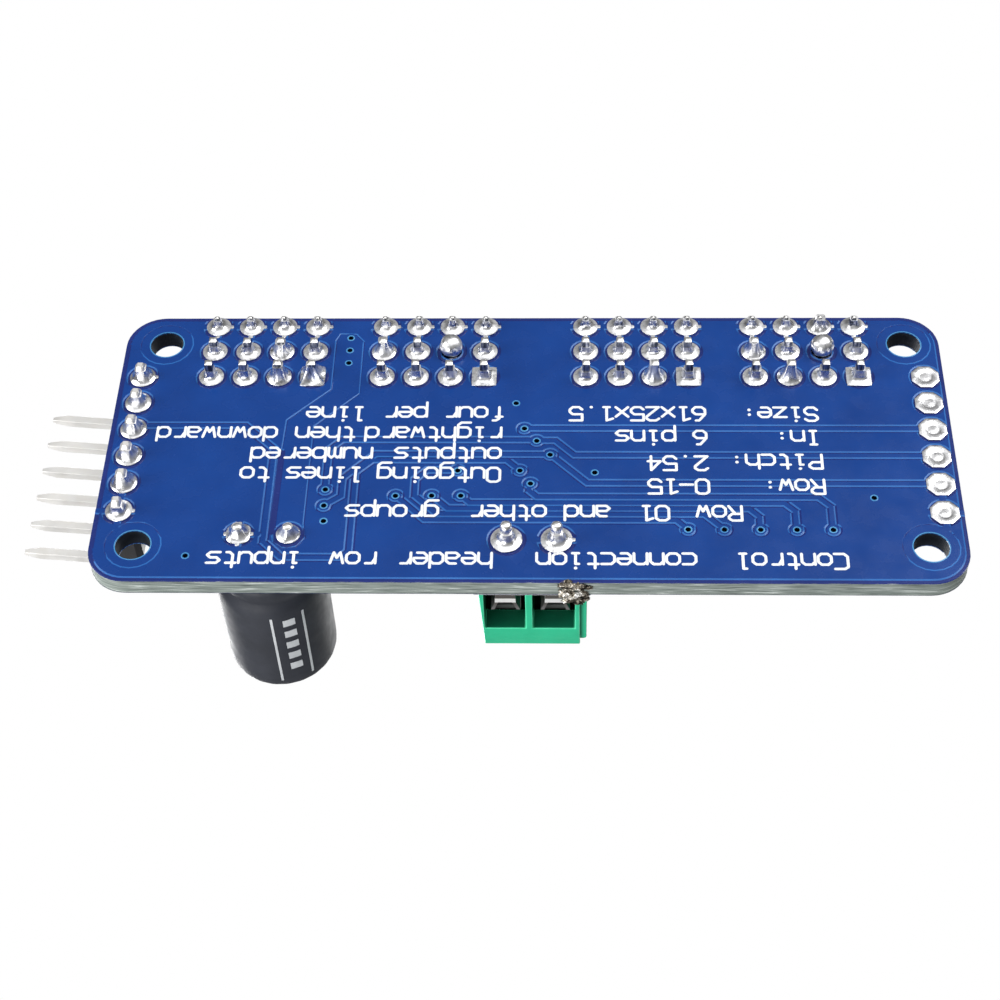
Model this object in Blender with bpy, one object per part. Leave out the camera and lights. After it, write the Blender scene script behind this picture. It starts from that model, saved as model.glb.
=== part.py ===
"""Servo driver board, modelled as its separate pieces. Metres, +Z up.

The origin is the centre of the four mounting holes, on the solder-side face of the board. +Z is the
component side, +Y the edge with the screw terminal, and the control header stands out towards -X.
Sizes below are in millimetres, and every mesh is scaled by MM as it is made.
"""

from math import cos, pi, radians, sin, tau

import bmesh
import bpy
from mathutils import Vector

MM = 0.001

# Board
BOARD_LOW = (-30.85, -12.32)
BOARD_HIGH = (30.37, 12.61)
BOARD_THICKNESS = 1.5
BOARD_CORNER = 2.8
MOUNT_HOLE_X = 27.75
MOUNT_HOLE_Y = 9.51
MOUNT_HOLE_RADIUS = 1.25
RELIEF_RADIUS = 2.05  # bare ring round a mounting hole, where the copper is pulled back
RELIEF_DEPTH = 0.035
SEAT = 0.05  # gap between the board and what stands on it
PAD_GAP = 0.03  # gap between the board and its solder

# Headers
PITCH = 2.54
PIN_HALF = 0.32
PIN_TIP_HALF = 0.17
PIN_TAPER = 0.4
PIN_HOLE_RADIUS = 0.5
PIN_CLEARANCE = 0.05
STRIP_HEIGHT = 2.54
STRIP_HALF_WIDTH = 1.23
STRIP_CHAMFER = 0.4
SERVO_PIN_TOP = 10.1
SERVO_GROUPS = {"a": -24.0, "b": -11.2, "c": 3.96, "d": 16.5}  # x of each group's first pin
SERVO_ROWS = {"signal": (-6.26, 1.7), "supply": (-8.8, 1.4), "ground": (-11.34, 1.1)}  # y, tail
PINS_PER_GROUP = 4
COLUMN_FIRST_Y = -6.22
COLUMN_PINS = 6
CONTROL_X = -29.16
SPARE_X = 29.0
CONTROL_TAIL = 1.4
CONTROL_BEND_Z = 5.75
CONTROL_BEND_RADIUS = 0.6
CONTROL_TIP_X = -36.9
CONTROL_TIP_Z = 4.94
WEB_HALF = 0.15  # lead-frame strip that holds a row of pins together, inside the plastic

# Solder
SOLDER_RADIUS = 0.94
SOLDER_NECK = 0.46
SOLDER_RIM = 0.12

# Screw terminal
HOUSING_BASE_X = (-3.56, 3.50)
HOUSING_RIM_X = (-3.25, 3.56)
HOUSING_RIM_Z = 7.9
HOUSING_FRONT_Y = 12.3
HOUSING_BACK_Y = 5.3
HOUSING_TOP_Z = 10.0
HOUSING_TOP_FRONT_Y = 10.85
HOUSING_TOP_BACK_Y = 6.3
HOUSING_SHOULDER_Z = 8.2
POCKET_X = ((-3.19, -0.30), (0.21, 3.19))
POCKET_FLOOR_Z = 1.95
POCKET_ROOF_Z = 6.0
CHAMBER_BACK_Y = 6.55
CHAMBER_FRONT_Y = 10.65
CHAMBER_ROOF_Z = 8.0
POLE_X = (-1.70, 1.80)
POLE_Y = 8.96
TAIL_X = (-1.605, 1.895)
TAIL_LENGTH = 1.84
TAIL_RADIUS = 0.42
TAIL_HOLE_RADIUS = 0.6
SCREW_HEAD_RADIUS = 1.3
SCREW_HEAD_Z = (8.45, 9.65)
SCREW_SHANK_RADIUS = 0.8
SCREW_END_Z = 5.65
SCREW_SLOT = (0.4, 0.5)  # width, depth
WELL_RADIUS = 1.42
WELL_FLOOR_Z = 8.35
SHANK_HOLE_RADIUS = 0.95
RIB_REACH_X = 4.02
RIB_Y = (11.2, 11.9)
RIB_DROP = 0.1
RIB_ROUND = (0.15, 0.25)
CLAMP_FLOOR_Z = 2.1
CLAMP_Y = (7.2, 10.5, 11.9)  # back, front of the cage, lip of the trough
# Cross-section of the clamp above its floor: half width, height
CLAMP_OUTER = ((0.65, 0.0), (0.74, 1.3), (1.03, 2.15), (1.03, 4.05))
CLAMP_INNER = ((0.5, 1.3), (0.8, 2.2), (0.8, 3.6))
CLAMP_TROUGH_TOP = 2.15
CLAMP_HOLE_GAP = 0.06
CONTACT_Z = (5.25, 5.55)
CONTACT_HALF_WIDTH = 0.6
CONTACT_BACK_Y = 6.7
CONTACT_FRONT_Y = 10.3
CONTACT_THICKNESS = 0.3
CONTACT_FOOT_Z = 1.6
CONTACT_FOOT_REACH = 0.5  # how far the foot runs past the tail
TAIL_TIP = (0.2, 0.2)  # radius, length
TAIL_SOLDER = (1.12, 1.15)  # radius, height

# Capacitor
CAN_X, CAN_Y = -18.66, 8.52
CAN_RADIUS = 3.82
CAN_WALL = 0.3
CAN_BASE_Z = 1.75
CAN_TOP_Z = 13.3
SLEEVE_RADIUS = 4.0
SLEEVE_WALL = 0.13
SLEEVE_LIP = 0.7
LEAD_HALF_SPACING = 1.75
LEAD_RADIUS = 0.3
LEAD_HOLE_RADIUS = 0.45
LEAD_TAIL = 1.0
LEAD_SOLDER = (0.87, 0.8)  # radius, height
LEAD_TOP_Z = 3.9
GROOVE_Z = 3.3
GROOVE_DEPTH = 0.35

# Driver chip
CHIP_X, CHIP_Y = 0.15, 1.2
CHIP_HALF_LENGTH = 4.85
CHIP_HALF_WIDTH = 2.2
CHIP_Z = (1.65, 2.6)
LEAD_PITCH = 0.65
LEADS_PER_SIDE = 14
LEAD_HALF_WIDTH = 0.12
LEAD_THICKNESS = 0.12

# Small parts: half length, half width, height
ARRAY_SIZE = (1.6, 0.8, 0.55)
SMALL_SIZE = (1.0, 0.62, 0.6)
CERAMIC_SIZE = (1.0, 0.62, 0.9)
LIGHT_SIZE = (0.8, 0.42, 0.7)
ARRAY_X = (-19.3, -7.4, 7.9, 20.3)
ARRAY_Y = -3.3
ADDRESS_ARRAYS = ((12.5, 3.2), (16.5, 3.2))
ARRAY_NOTCH = (0.8, 0.14, 0.2)  # pitch, half width, depth
TRANSISTOR_SIZE = (1.45, 0.65, 1.1)
TRANSISTOR_LEGS = ((-0.95, -1), (0.95, -1), (0.0, 1))  # x, side
TRANSISTOR_LEG_REACH = (0.4, 1.25)
TRANSISTOR_LEG = (0.2, 0.2)  # half width, thickness
TRANSISTOR_PLACE = (-9.2, 8.2, 0)
LIGHT_PLACE = (8.6, 9.4, 0)
LIGHT_RESISTOR_PLACE = (8.6, 7.2, 0)
ENABLE_RESISTOR_PLACE = (-9.4, 3.4, 0)
CERAMIC_PLACES = ((-7.9, 0.4, 0), (-12.4, 3.4, 0))

ROUND = 24
COARSE = 8


# ---------------------------------------------------------------- helpers


def clear_scene():
    for item in list(bpy.data.objects):
        bpy.data.objects.remove(item)


def material(name, color, roughness, metallic=0.0):
    made = bpy.data.materials.new(name)
    made.use_nodes = True
    shader = made.node_tree.nodes["Principled BSDF"]
    shader.inputs["Base Color"].default_value = (*color, 1.0)
    shader.inputs["Roughness"].default_value = roughness
    shader.inputs["Metallic"].default_value = metallic
    return made


def polygon_ring(radius, z, count=COARSE, x=0.0, y=0.0):
    """Round ring of points, the first one on +X."""
    return [(x + radius * cos(tau * i / count), y + radius * sin(tau * i / count), z) for i in range(count)]


def square_ring(half, z, x=0.0, y=0.0):
    """Square ring of eight points, corners and side middles, in step with an eight-point round ring."""
    around = ((1, 0), (1, 1), (0, 1), (-1, 1), (-1, 0), (-1, -1), (0, -1), (1, -1))
    return [(x + half * a, y + half * b, z) for a, b in around]


def rounded_rectangle(low, high, radius, steps=6):
    """Counter-clockwise outline with an arc at each corner."""
    corners = ((high[0], high[1], 0.0), (low[0], high[1], 0.5), (low[0], low[1], 1.0), (high[0], low[1], 1.5))
    outline = []
    for x, y, start in corners:
        centre_x = x - radius if x == high[0] else x + radius
        centre_y = y - radius if y == high[1] else y + radius
        for step in range(steps + 1):
            angle = pi * start + pi / 2 * step / steps
            outline.append((centre_x + radius * cos(angle), centre_y + radius * sin(angle)))
    return outline


def add_loft(mesh, rings):
    """Closed body through rings of equal length, capped at both ends."""
    rows = [[mesh.verts.new(Vector(point) * MM) for point in ring] for ring in rings]
    count = len(rows[0])
    for low, high in zip(rows, rows[1:]):
        for i in range(count):
            j = (i + 1) % count
            mesh.faces.new((low[i], low[j], high[j], high[i]))
    mesh.faces.new(reversed(rows[0]))
    mesh.faces.new(rows[-1])


def add_prism(mesh, outline, low, high, along="z"):
    """Outline pushed from low to high along one axis; its points are the other two axes in X, Y, Z order."""
    place = {
        "x": lambda a, b, depth: (depth, a, b),
        "y": lambda a, b, depth: (a, depth, b),
        "z": lambda a, b, depth: (a, b, depth),
    }[along]
    add_loft(mesh, [[place(a, b, depth) for a, b in outline] for depth in (low, high)])


def add_box(mesh, low, high):
    rectangle = ((low[0], low[1]), (high[0], low[1]), (high[0], high[1]), (low[0], high[1]))
    add_prism(mesh, rectangle, low[2], high[2])


def add_lathe(mesh, outline, count=ROUND, x=0.0, y=0.0):
    """Closed outline of (radius, z) points turned about a vertical axis; a point on the axis is a pole."""
    rows = []
    for radius, z in outline:
        ring = polygon_ring(radius, z, count, x, y) if radius > 0 else [(x, y, z)]
        rows.append([mesh.verts.new(Vector(point) * MM) for point in ring])
    for i, low in enumerate(rows):
        high = rows[(i + 1) % len(rows)]
        for k in range(count):
            corners = [low[k % len(low)], low[(k + 1) % len(low)]]
            corners += [high[(k + 1) % len(high)], high[k % len(high)]]
            corners = list(dict.fromkeys(corners))
            if len(corners) > 2:
                mesh.faces.new(corners)


def make(name, build, finish=None, place=(0, 0, 0)):
    """Object whose mesh is drawn by build(mesh), with its faces turned outwards."""
    mesh = bmesh.new()
    build(mesh)
    bmesh.ops.recalc_face_normals(mesh, faces=mesh.faces)
    data = bpy.data.meshes.new(name)
    mesh.to_mesh(data)
    mesh.free()
    data.shade_smooth()
    data.set_sharp_from_angle(angle=radians(30))
    if finish:
        data.materials.append(finish)
    item = bpy.data.objects.new(name, data)
    item.location = Vector(place) * MM
    bpy.context.scene.collection.objects.link(item)
    return item


def combine(target, tool, operation="DIFFERENCE"):
    """Cut tool out of target, or join it on, and keep tool as a hidden guide."""
    modifier = target.modifiers.new(tool.name, "BOOLEAN")
    modifier.operation = operation
    modifier.object = tool
    modifier.solver = "EXACT"
    tool.hide_render = True
    tool.display_type = "WIRE"


def settled_mesh(item):
    """Mesh of item with its modifiers applied; item and its guides are removed."""
    guides = [modifier.object for modifier in item.modifiers]
    bpy.context.view_layer.update()
    shape = bpy.data.meshes.new_from_object(item.evaluated_get(bpy.context.evaluated_depsgraph_get()))
    for used in [item, *guides]:
        bpy.data.objects.remove(used)
    return shape


def place_copy(name, shape, finish, place=(0, 0, 0), turn=0.0):
    """New object with its own copy of a shape, so that it can carry its own material."""
    data = shape.copy()
    data.name = name
    data.materials.clear()
    data.materials.append(finish)
    item = bpy.data.objects.new(name, data)
    item.location = Vector(place) * MM
    item.rotation_euler.z = turn
    bpy.context.scene.collection.objects.link(item)
    return item


def solder_rings(radius, neck, height, shape_ring):
    """Rings of a solder cone below the board, from its neck on the pin to its flat on the pad."""
    return [
        polygon_ring(neck, -height),
        polygon_ring(radius, -SOLDER_RIM),
        polygon_ring(radius, -PAD_GAP),
        shape_ring(-PAD_GAP),
    ]


def column_ys():
    return [COLUMN_FIRST_Y + PITCH * i for i in range(COLUMN_PINS)]


# ---------------------------------------------------------------- board


def hole_places():
    """Every plated hole in the board: x, y, radius."""
    holes = []
    for first_x in SERVO_GROUPS.values():
        for row_y, _ in SERVO_ROWS.values():
            holes += [(first_x + PITCH * i, row_y, PIN_HOLE_RADIUS) for i in range(PINS_PER_GROUP)]
    holes += [(x, y, PIN_HOLE_RADIUS) for x in (CONTROL_X, SPARE_X) for y in column_ys()]
    holes += [(x, POLE_Y, TAIL_HOLE_RADIUS) for x in TAIL_X]
    holes += [(CAN_X + side * LEAD_HALF_SPACING, CAN_Y, LEAD_HOLE_RADIUS) for side in (-1, 1)]
    return holes


def make_board(blue):
    mount_places = [(sx * MOUNT_HOLE_X, sy * MOUNT_HOLE_Y) for sx in (-1, 1) for sy in (-1, 1)]

    def laminate(mesh):
        add_prism(mesh, rounded_rectangle(BOARD_LOW, BOARD_HIGH, BOARD_CORNER), 0.0, BOARD_THICKNESS)

    def drills(mesh):
        for x, y, radius in hole_places():
            add_loft(mesh, [polygon_ring(radius, z, COARSE, x, y) for z in (-1.0, BOARD_THICKNESS + 1.0)])
        for x, y in mount_places:
            ends = (-1.0, BOARD_THICKNESS + 1.0)
            add_loft(mesh, [polygon_ring(MOUNT_HOLE_RADIUS, z, ROUND, x, y) for z in ends])

    def reliefs(mesh):
        for x, y in mount_places:
            add_loft(mesh, [polygon_ring(RELIEF_RADIUS, z, ROUND, x, y) for z in (-1.0, RELIEF_DEPTH)])

    board = make("pcb", laminate, blue)
    combine(board, make("pcb_drills", drills))
    combine(board, make("pcb_reliefs", reliefs))


# ---------------------------------------------------------------- servo headers


def strip_outline(count, across_first):
    """Outline of a strip for count pins along its length, with a notch between each pair of pins."""
    half = STRIP_HALF_WIDTH
    inner = half - STRIP_CHAMFER
    end = PITCH / 2 - 0.02
    side = []
    for i in range(count):
        start = -end if i == 0 else -PITCH / 2
        stop = end if i == count - 1 else PITCH / 2
        at = PITCH * i
        side += [(at + start, inner), (at + start + STRIP_CHAMFER, half), (at + stop - STRIP_CHAMFER, half)]
        if i == count - 1:
            side.append((at + stop, inner))
    outline = [(a, -b) for a, b in side] + side[::-1]
    return [(b, a) for a, b in outline] if across_first else outline


def pin_slots(count, low, high, across_first):
    """Builder of the square passages through a strip."""

    def build(mesh):
        half = PIN_HALF + PIN_CLEARANCE
        for i in range(count):
            x, y = (0.0, PITCH * i) if across_first else (PITCH * i, 0.0)
            add_box(mesh, (x - half, y - half, low - 1.0), (x + half, y + half, high + 1.0))

    return build


def make_servo_headers(plastics, metal):
    low = BOARD_THICKNESS + SEAT
    high = low + STRIP_HEIGHT
    web_z = (low + high) / 2
    reach = PITCH * (PINS_PER_GROUP - 1)

    def strip(mesh):
        add_prism(mesh, strip_outline(PINS_PER_GROUP, False), low, high)

    def tunnel(mesh):
        half = WEB_HALF + PIN_CLEARANCE
        add_box(mesh, (0.0, -half, web_z - half), (reach, half, web_z + half))

    def web(mesh):
        add_box(mesh, (0.1, -WEB_HALF, web_z - WEB_HALF), (reach - 0.1, WEB_HALF, web_z + WEB_HALF))

    blank = make("strip_blank", strip)
    combine(blank, make("strip_slots", pin_slots(PINS_PER_GROUP, low, high, False)))
    combine(blank, make("strip_tunnel", tunnel))
    strip_shape = settled_mesh(blank)

    for row, (row_y, tail) in SERVO_ROWS.items():

        def pins(mesh, tail=tail):
            cone = 0.72 * tail
            for i in range(PINS_PER_GROUP):
                rings = [square_ring(PIN_TIP_HALF, -tail), square_ring(PIN_HALF, -tail + 0.2)]
                rings.append(square_ring(PIN_HALF, -cone - 0.05))
                rings += solder_rings(SOLDER_RADIUS, SOLDER_NECK, cone, lambda z: square_ring(PIN_HALF, z))
                rings.append(square_ring(PIN_HALF, SERVO_PIN_TOP - PIN_TAPER))
                rings.append(square_ring(PIN_TIP_HALF, SERVO_PIN_TOP))
                add_loft(mesh, [[(x + PITCH * i, y, z) for x, y, z in ring] for ring in rings])

        comb = make("pin_blank", pins)
        combine(comb, make("pin_web", web), "UNION")
        comb_shape = settled_mesh(comb)
        for group, first_x in SERVO_GROUPS.items():
            place_copy(f"servo_strip_{group}_{row}", strip_shape, plastics[row], (first_x, row_y, 0))
            place_copy(f"servo_pins_{group}_{row}", comb_shape, metal, (first_x, row_y, 0))


# ---------------------------------------------------------------- control header


def make_control_header(plastic, metal):
    low = BOARD_THICKNESS + SEAT
    high = low + STRIP_HEIGHT

    def strip(mesh):
        add_prism(mesh, strip_outline(COLUMN_PINS, True), low, high)

    base = make("control_header_base", strip, plastic, (CONTROL_X, COLUMN_FIRST_Y, 0))
    cut = pin_slots(COLUMN_PINS, low, high, True)
    slots = make("control_slots", cut, None, (CONTROL_X, COLUMN_FIRST_Y, 0))
    combine(base, slots)

    run = Vector((CONTROL_TIP_X - CONTROL_X, 0, CONTROL_TIP_Z - CONTROL_BEND_Z)).normalized()

    def section(centre, direction, half):
        """Square ring across the bent part of a pin; at the foot, where it runs upwards, it is level."""
        across = Vector((-direction.z, 0, direction.x))
        around = ((1, 0), (1, 1), (0, 1), (-1, 1), (-1, 0), (-1, -1), (0, -1), (1, -1))
        return [tuple(centre - across * half * a + Vector((0, half * b, 0))) for a, b in around]

    def pin(mesh):
        cone = 0.8 * CONTROL_TAIL
        rings = [square_ring(PIN_TIP_HALF, -CONTROL_TAIL), square_ring(PIN_HALF, -cone - 0.05)]
        rings += solder_rings(SOLDER_RADIUS + 0.04, SOLDER_NECK, cone, lambda z: square_ring(PIN_HALF, z))
        full_turn = Vector((0, 0, 1)).angle(run)
        radius = CONTROL_BEND_RADIUS
        foot = CONTROL_BEND_Z - radius
        steps = 4
        for step in range(steps + 1):
            turn = full_turn * step / steps
            centre = Vector((-radius + radius * cos(turn), 0, foot + radius * sin(turn)))
            rings.append(section(centre, Vector((-sin(turn), 0, cos(turn))), PIN_HALF))
        tip = Vector((CONTROL_TIP_X - CONTROL_X, 0, CONTROL_TIP_Z))
        rings.append(section(tip - run * 1.0, run, PIN_HALF))
        rings.append(section(tip, run, PIN_TIP_HALF))
        add_loft(mesh, rings)

    for i, y in enumerate(column_ys()):
        make(f"control_pin_{i + 1}", pin, metal, (CONTROL_X, y, 0))


# ---------------------------------------------------------------- screw terminal


def housing_side_x(side, z):
    """x of a side wall at height z; the walls lean a little."""
    base, rim = HOUSING_BASE_X[side], HOUSING_RIM_X[side]
    return base + (rim - base) * (z - BOARD_THICKNESS) / (HOUSING_RIM_Z - BOARD_THICKNESS)


def make_housing(green):
    base_z = BOARD_THICKNESS + SEAT
    profile = (
        (HOUSING_FRONT_Y, base_z),
        (HOUSING_FRONT_Y, HOUSING_RIM_Z),
        (HOUSING_TOP_FRONT_Y, HOUSING_TOP_Z),
        (HOUSING_TOP_BACK_Y, HOUSING_TOP_Z),
        (HOUSING_BACK_Y, HOUSING_SHOULDER_Z),
        (HOUSING_BACK_Y, base_z),
    )

    def block(mesh):
        add_loft(mesh, [[(housing_side_x(side, z), y, z) for y, z in profile] for side in (0, 1)])

    def rib(mesh):
        low_x, high_x = HOUSING_RIM_X[1] - 0.2, RIB_REACH_X
        end = HOUSING_RIM_Z - RIB_DROP
        across, down = RIB_ROUND
        rounded = ((low_x, base_z), (high_x, base_z), (high_x, end - down))
        rounded += ((high_x - across, end), (low_x, end))
        add_prism(mesh, rounded, *RIB_Y, "y")

    housing = make("terminal_housing", block, green)
    combine(housing, make("housing_rib", rib), "UNION")

    for pole, (low_x, high_x) in enumerate(POCKET_X):
        x = POLE_X[pole]

        def opening(mesh, low_x=low_x, high_x=high_x):
            low = (low_x, CHAMBER_FRONT_Y - 0.5, POCKET_FLOOR_Z)
            add_box(mesh, low, (high_x, HOUSING_FRONT_Y + 1.0, POCKET_ROOF_Z))

        def chamber(mesh, low_x=low_x, high_x=high_x):
            low = (low_x, CHAMBER_BACK_Y, POCKET_FLOOR_Z)
            add_box(mesh, low, (high_x, CHAMBER_FRONT_Y, CHAMBER_ROOF_Z))

        def well(mesh, x=x):
            levels = ((SHANK_HOLE_RADIUS, CHAMBER_ROOF_Z - 0.5), (SHANK_HOLE_RADIUS, WELL_FLOOR_Z))
            levels += ((WELL_RADIUS, WELL_FLOOR_Z), (WELL_RADIUS, HOUSING_TOP_Z + 1.0))
            add_lathe(mesh, [(0, levels[0][1]), *levels, (0, levels[-1][1])], 16, x, POLE_Y)

        def foot_slot(mesh, x=x):
            half = CONTACT_HALF_WIDTH + 0.1
            add_box(mesh, (x - half, CHAMBER_BACK_Y, 1.0), (x + half, POLE_Y + 0.8, POCKET_FLOOR_Z + 0.3))

        cuts = {"opening": opening, "chamber": chamber, "well": well, "foot": foot_slot}
        for label, builder in cuts.items():
            combine(housing, make(f"housing_{label}_{pole + 1}", builder))


def make_terminal_screw(name, x, steel):
    """Screw with a slotted head, standing on its own axis."""

    def body(mesh):
        low, high = SCREW_HEAD_Z
        outline = ((0, SCREW_END_Z), (SCREW_SHANK_RADIUS - 0.2, SCREW_END_Z))
        outline += ((SCREW_SHANK_RADIUS, SCREW_END_Z + 0.2),)
        outline += ((SCREW_SHANK_RADIUS, low), (SCREW_HEAD_RADIUS, low), (SCREW_HEAD_RADIUS, high - 0.15))
        outline += ((SCREW_HEAD_RADIUS - 0.15, high), (0, high))
        add_lathe(mesh, outline, 16)

    def slot(mesh):
        width, depth = SCREW_SLOT
        top = SCREW_HEAD_Z[1]
        add_box(mesh, (-width / 2, -2.0, top - depth), (width / 2, 2.0, top + 1.0))

    place = (x, POLE_Y, 0)
    combine(make(name, body, steel, place), make(f"{name}_slot", slot, None, place))


def mirrored(side):
    """Closed outline of which one side is given from bottom to top."""
    return [*side, *((-a, b) for a, b in reversed(side))]


def make_wire_clamp(name, x, nickel):
    """Cage that rises on its screw; its flared trough lies low in the wire opening when open."""
    back, front, lip = (y - POLE_Y for y in CLAMP_Y)
    roof, top = CLAMP_INNER[-1][1], CLAMP_OUTER[-1][1]

    def cage(mesh):
        add_prism(mesh, mirrored(CLAMP_OUTER), back, lip, "y")

    def hollow(mesh):
        add_prism(mesh, mirrored(CLAMP_INNER), back - 1.0, lip + 1.0, "y")

    def front_cut(mesh):
        add_box(mesh, (-2.0, front, CLAMP_TROUGH_TOP), (2.0, lip + 1.0, top + 1.0))

    def thread(mesh):
        radius = SCREW_SHANK_RADIUS + CLAMP_HOLE_GAP
        add_loft(mesh, [polygon_ring(radius, z, 16) for z in (roof - 0.3, top + 1.0)])

    place = (x, POLE_Y, CLAMP_FLOOR_Z)
    clamp = make(name, cage, nickel, place)
    for label, builder in (("hollow", hollow), ("front", front_cut), ("thread", thread)):
        combine(clamp, make(f"{name}_{label}", builder, None, place))


def make_terminal_contact(name, x, tail_x, tin):
    """Contact tongue inside the clamp, bent down behind it and forward to the solder tail."""
    low, high = CONTACT_Z
    back, front, inside = CONTACT_BACK_Y, CONTACT_FRONT_Y, CONTACT_BACK_Y + CONTACT_THICKNESS
    foot, instep = CONTACT_FOOT_Z, CONTACT_FOOT_Z + CONTACT_THICKNESS
    toe = POLE_Y + CONTACT_FOOT_REACH
    side = ((back, foot), (toe, foot), (toe, instep), (inside, instep))
    side += ((inside, low), (front, low), (front, high), (back, high))

    def strap(mesh):
        add_prism(mesh, side, x - CONTACT_HALF_WIDTH, x + CONTACT_HALF_WIDTH, "x")

    def tail(mesh):
        radius, height = TAIL_SOLDER
        rings = [polygon_ring(TAIL_TIP[0], -TAIL_LENGTH)]
        rings += [polygon_ring(TAIL_RADIUS, -TAIL_LENGTH + TAIL_TIP[1])]
        rings.append(polygon_ring(TAIL_RADIUS, -height - 0.05))
        rings += solder_rings(radius, TAIL_RADIUS + 0.1, height, lambda z: polygon_ring(TAIL_RADIUS, z))
        rings.append(polygon_ring(TAIL_RADIUS, (foot + instep) / 2))
        add_loft(mesh, [[(a + tail_x, b + POLE_Y, z) for a, b, z in ring] for ring in rings])

    combine(make(name, strap, tin), make(f"{name}_tail", tail), "UNION")


def make_terminal(green, steel, nickel, tin):
    make_housing(green)
    for pole, x in enumerate(POLE_X):
        make_terminal_screw(f"terminal_screw_{pole + 1}", x, steel)
        make_wire_clamp(f"wire_clamp_{pole + 1}", x, nickel)
        make_terminal_contact(f"terminal_contact_{pole + 1}", x, TAIL_X[pole], tin)


# ---------------------------------------------------------------- capacitor


def make_capacitor(black, aluminium, rubber, paper, tin):
    inner = CAN_RADIUS - CAN_WALL
    groove = GROOVE_DEPTH

    def can(mesh):
        outline = ((CAN_RADIUS, CAN_BASE_Z), (CAN_RADIUS, GROOVE_Z - 0.4), (CAN_RADIUS - groove, GROOVE_Z))
        outline += ((CAN_RADIUS, GROOVE_Z + 0.4), (CAN_RADIUS, CAN_TOP_Z - 0.4))
        outline += ((CAN_RADIUS - 0.4, CAN_TOP_Z),)
        outline += ((0, CAN_TOP_Z), (0, CAN_TOP_Z - CAN_WALL), (inner, CAN_TOP_Z - CAN_WALL))
        outline += ((inner, GROOVE_Z + 0.4), (inner - groove, GROOVE_Z))
        outline += ((inner, GROOVE_Z - 0.4), (inner, CAN_BASE_Z))
        add_lathe(mesh, outline)

    def sleeve(mesh):
        gap = 0.03
        bore = SLEEVE_RADIUS - SLEEVE_WALL
        mouth = CAN_RADIUS - SLEEVE_LIP
        low, high = CAN_BASE_Z - gap, CAN_TOP_Z + gap
        outline = ((mouth, low - SLEEVE_WALL), (SLEEVE_RADIUS - 0.2, low - SLEEVE_WALL))
        outline += ((SLEEVE_RADIUS, low + 0.15), (SLEEVE_RADIUS, high - 0.3))
        outline += ((SLEEVE_RADIUS - 0.3, high + SLEEVE_WALL), (mouth, high + SLEEVE_WALL))
        outline += ((mouth, high), (bore - 0.35, high), (bore, high - 0.4), (bore, low), (mouth, low))
        add_lathe(mesh, outline)

    def seal(mesh):
        radius = inner - 0.05
        outline = ((0, CAN_BASE_Z + 0.1), (radius, CAN_BASE_Z + 0.1), (radius, GROOVE_Z - 0.4))
        outline += ((radius - groove, GROOVE_Z), (radius - groove, GROOVE_Z + 0.2), (0, GROOVE_Z + 0.2))
        add_lathe(mesh, outline)

    def seal_holes(mesh):
        for side in (-1, 1):
            x = side * LEAD_HALF_SPACING
            add_loft(mesh, [polygon_ring(LEAD_RADIUS + 0.05, z, COARSE, x) for z in (1.0, 5.0)])

    def winding(mesh):
        outline = ((0, 4.0), (inner - 0.25, 4.0), (inner - 0.25, CAN_TOP_Z - 1.0), (0, CAN_TOP_Z - 1.0))
        add_lathe(mesh, outline)

    def lead(mesh):
        radius, height = LEAD_SOLDER
        rings = [polygon_ring(LEAD_RADIUS, -LEAD_TAIL), polygon_ring(LEAD_RADIUS, -height - 0.05)]
        rings += solder_rings(radius, LEAD_RADIUS + 0.1, height, lambda z: polygon_ring(LEAD_RADIUS, z))
        rings.append(polygon_ring(LEAD_RADIUS, LEAD_TOP_Z))
        add_loft(mesh, rings)

    place = (CAN_X, CAN_Y, 0)
    make("capacitor_can", can, aluminium, place)
    make("capacitor_sleeve", sleeve, black, place)
    combine(make("capacitor_seal", seal, rubber, place), make("seal_holes", seal_holes, None, place))
    make("capacitor_winding", winding, paper, place)
    for label, side in (("minus", -1), ("plus", 1)):
        make(f"capacitor_lead_{label}", lead, tin, (CAN_X + side * LEAD_HALF_SPACING, CAN_Y, 0))


# ---------------------------------------------------------------- driver chip


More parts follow.
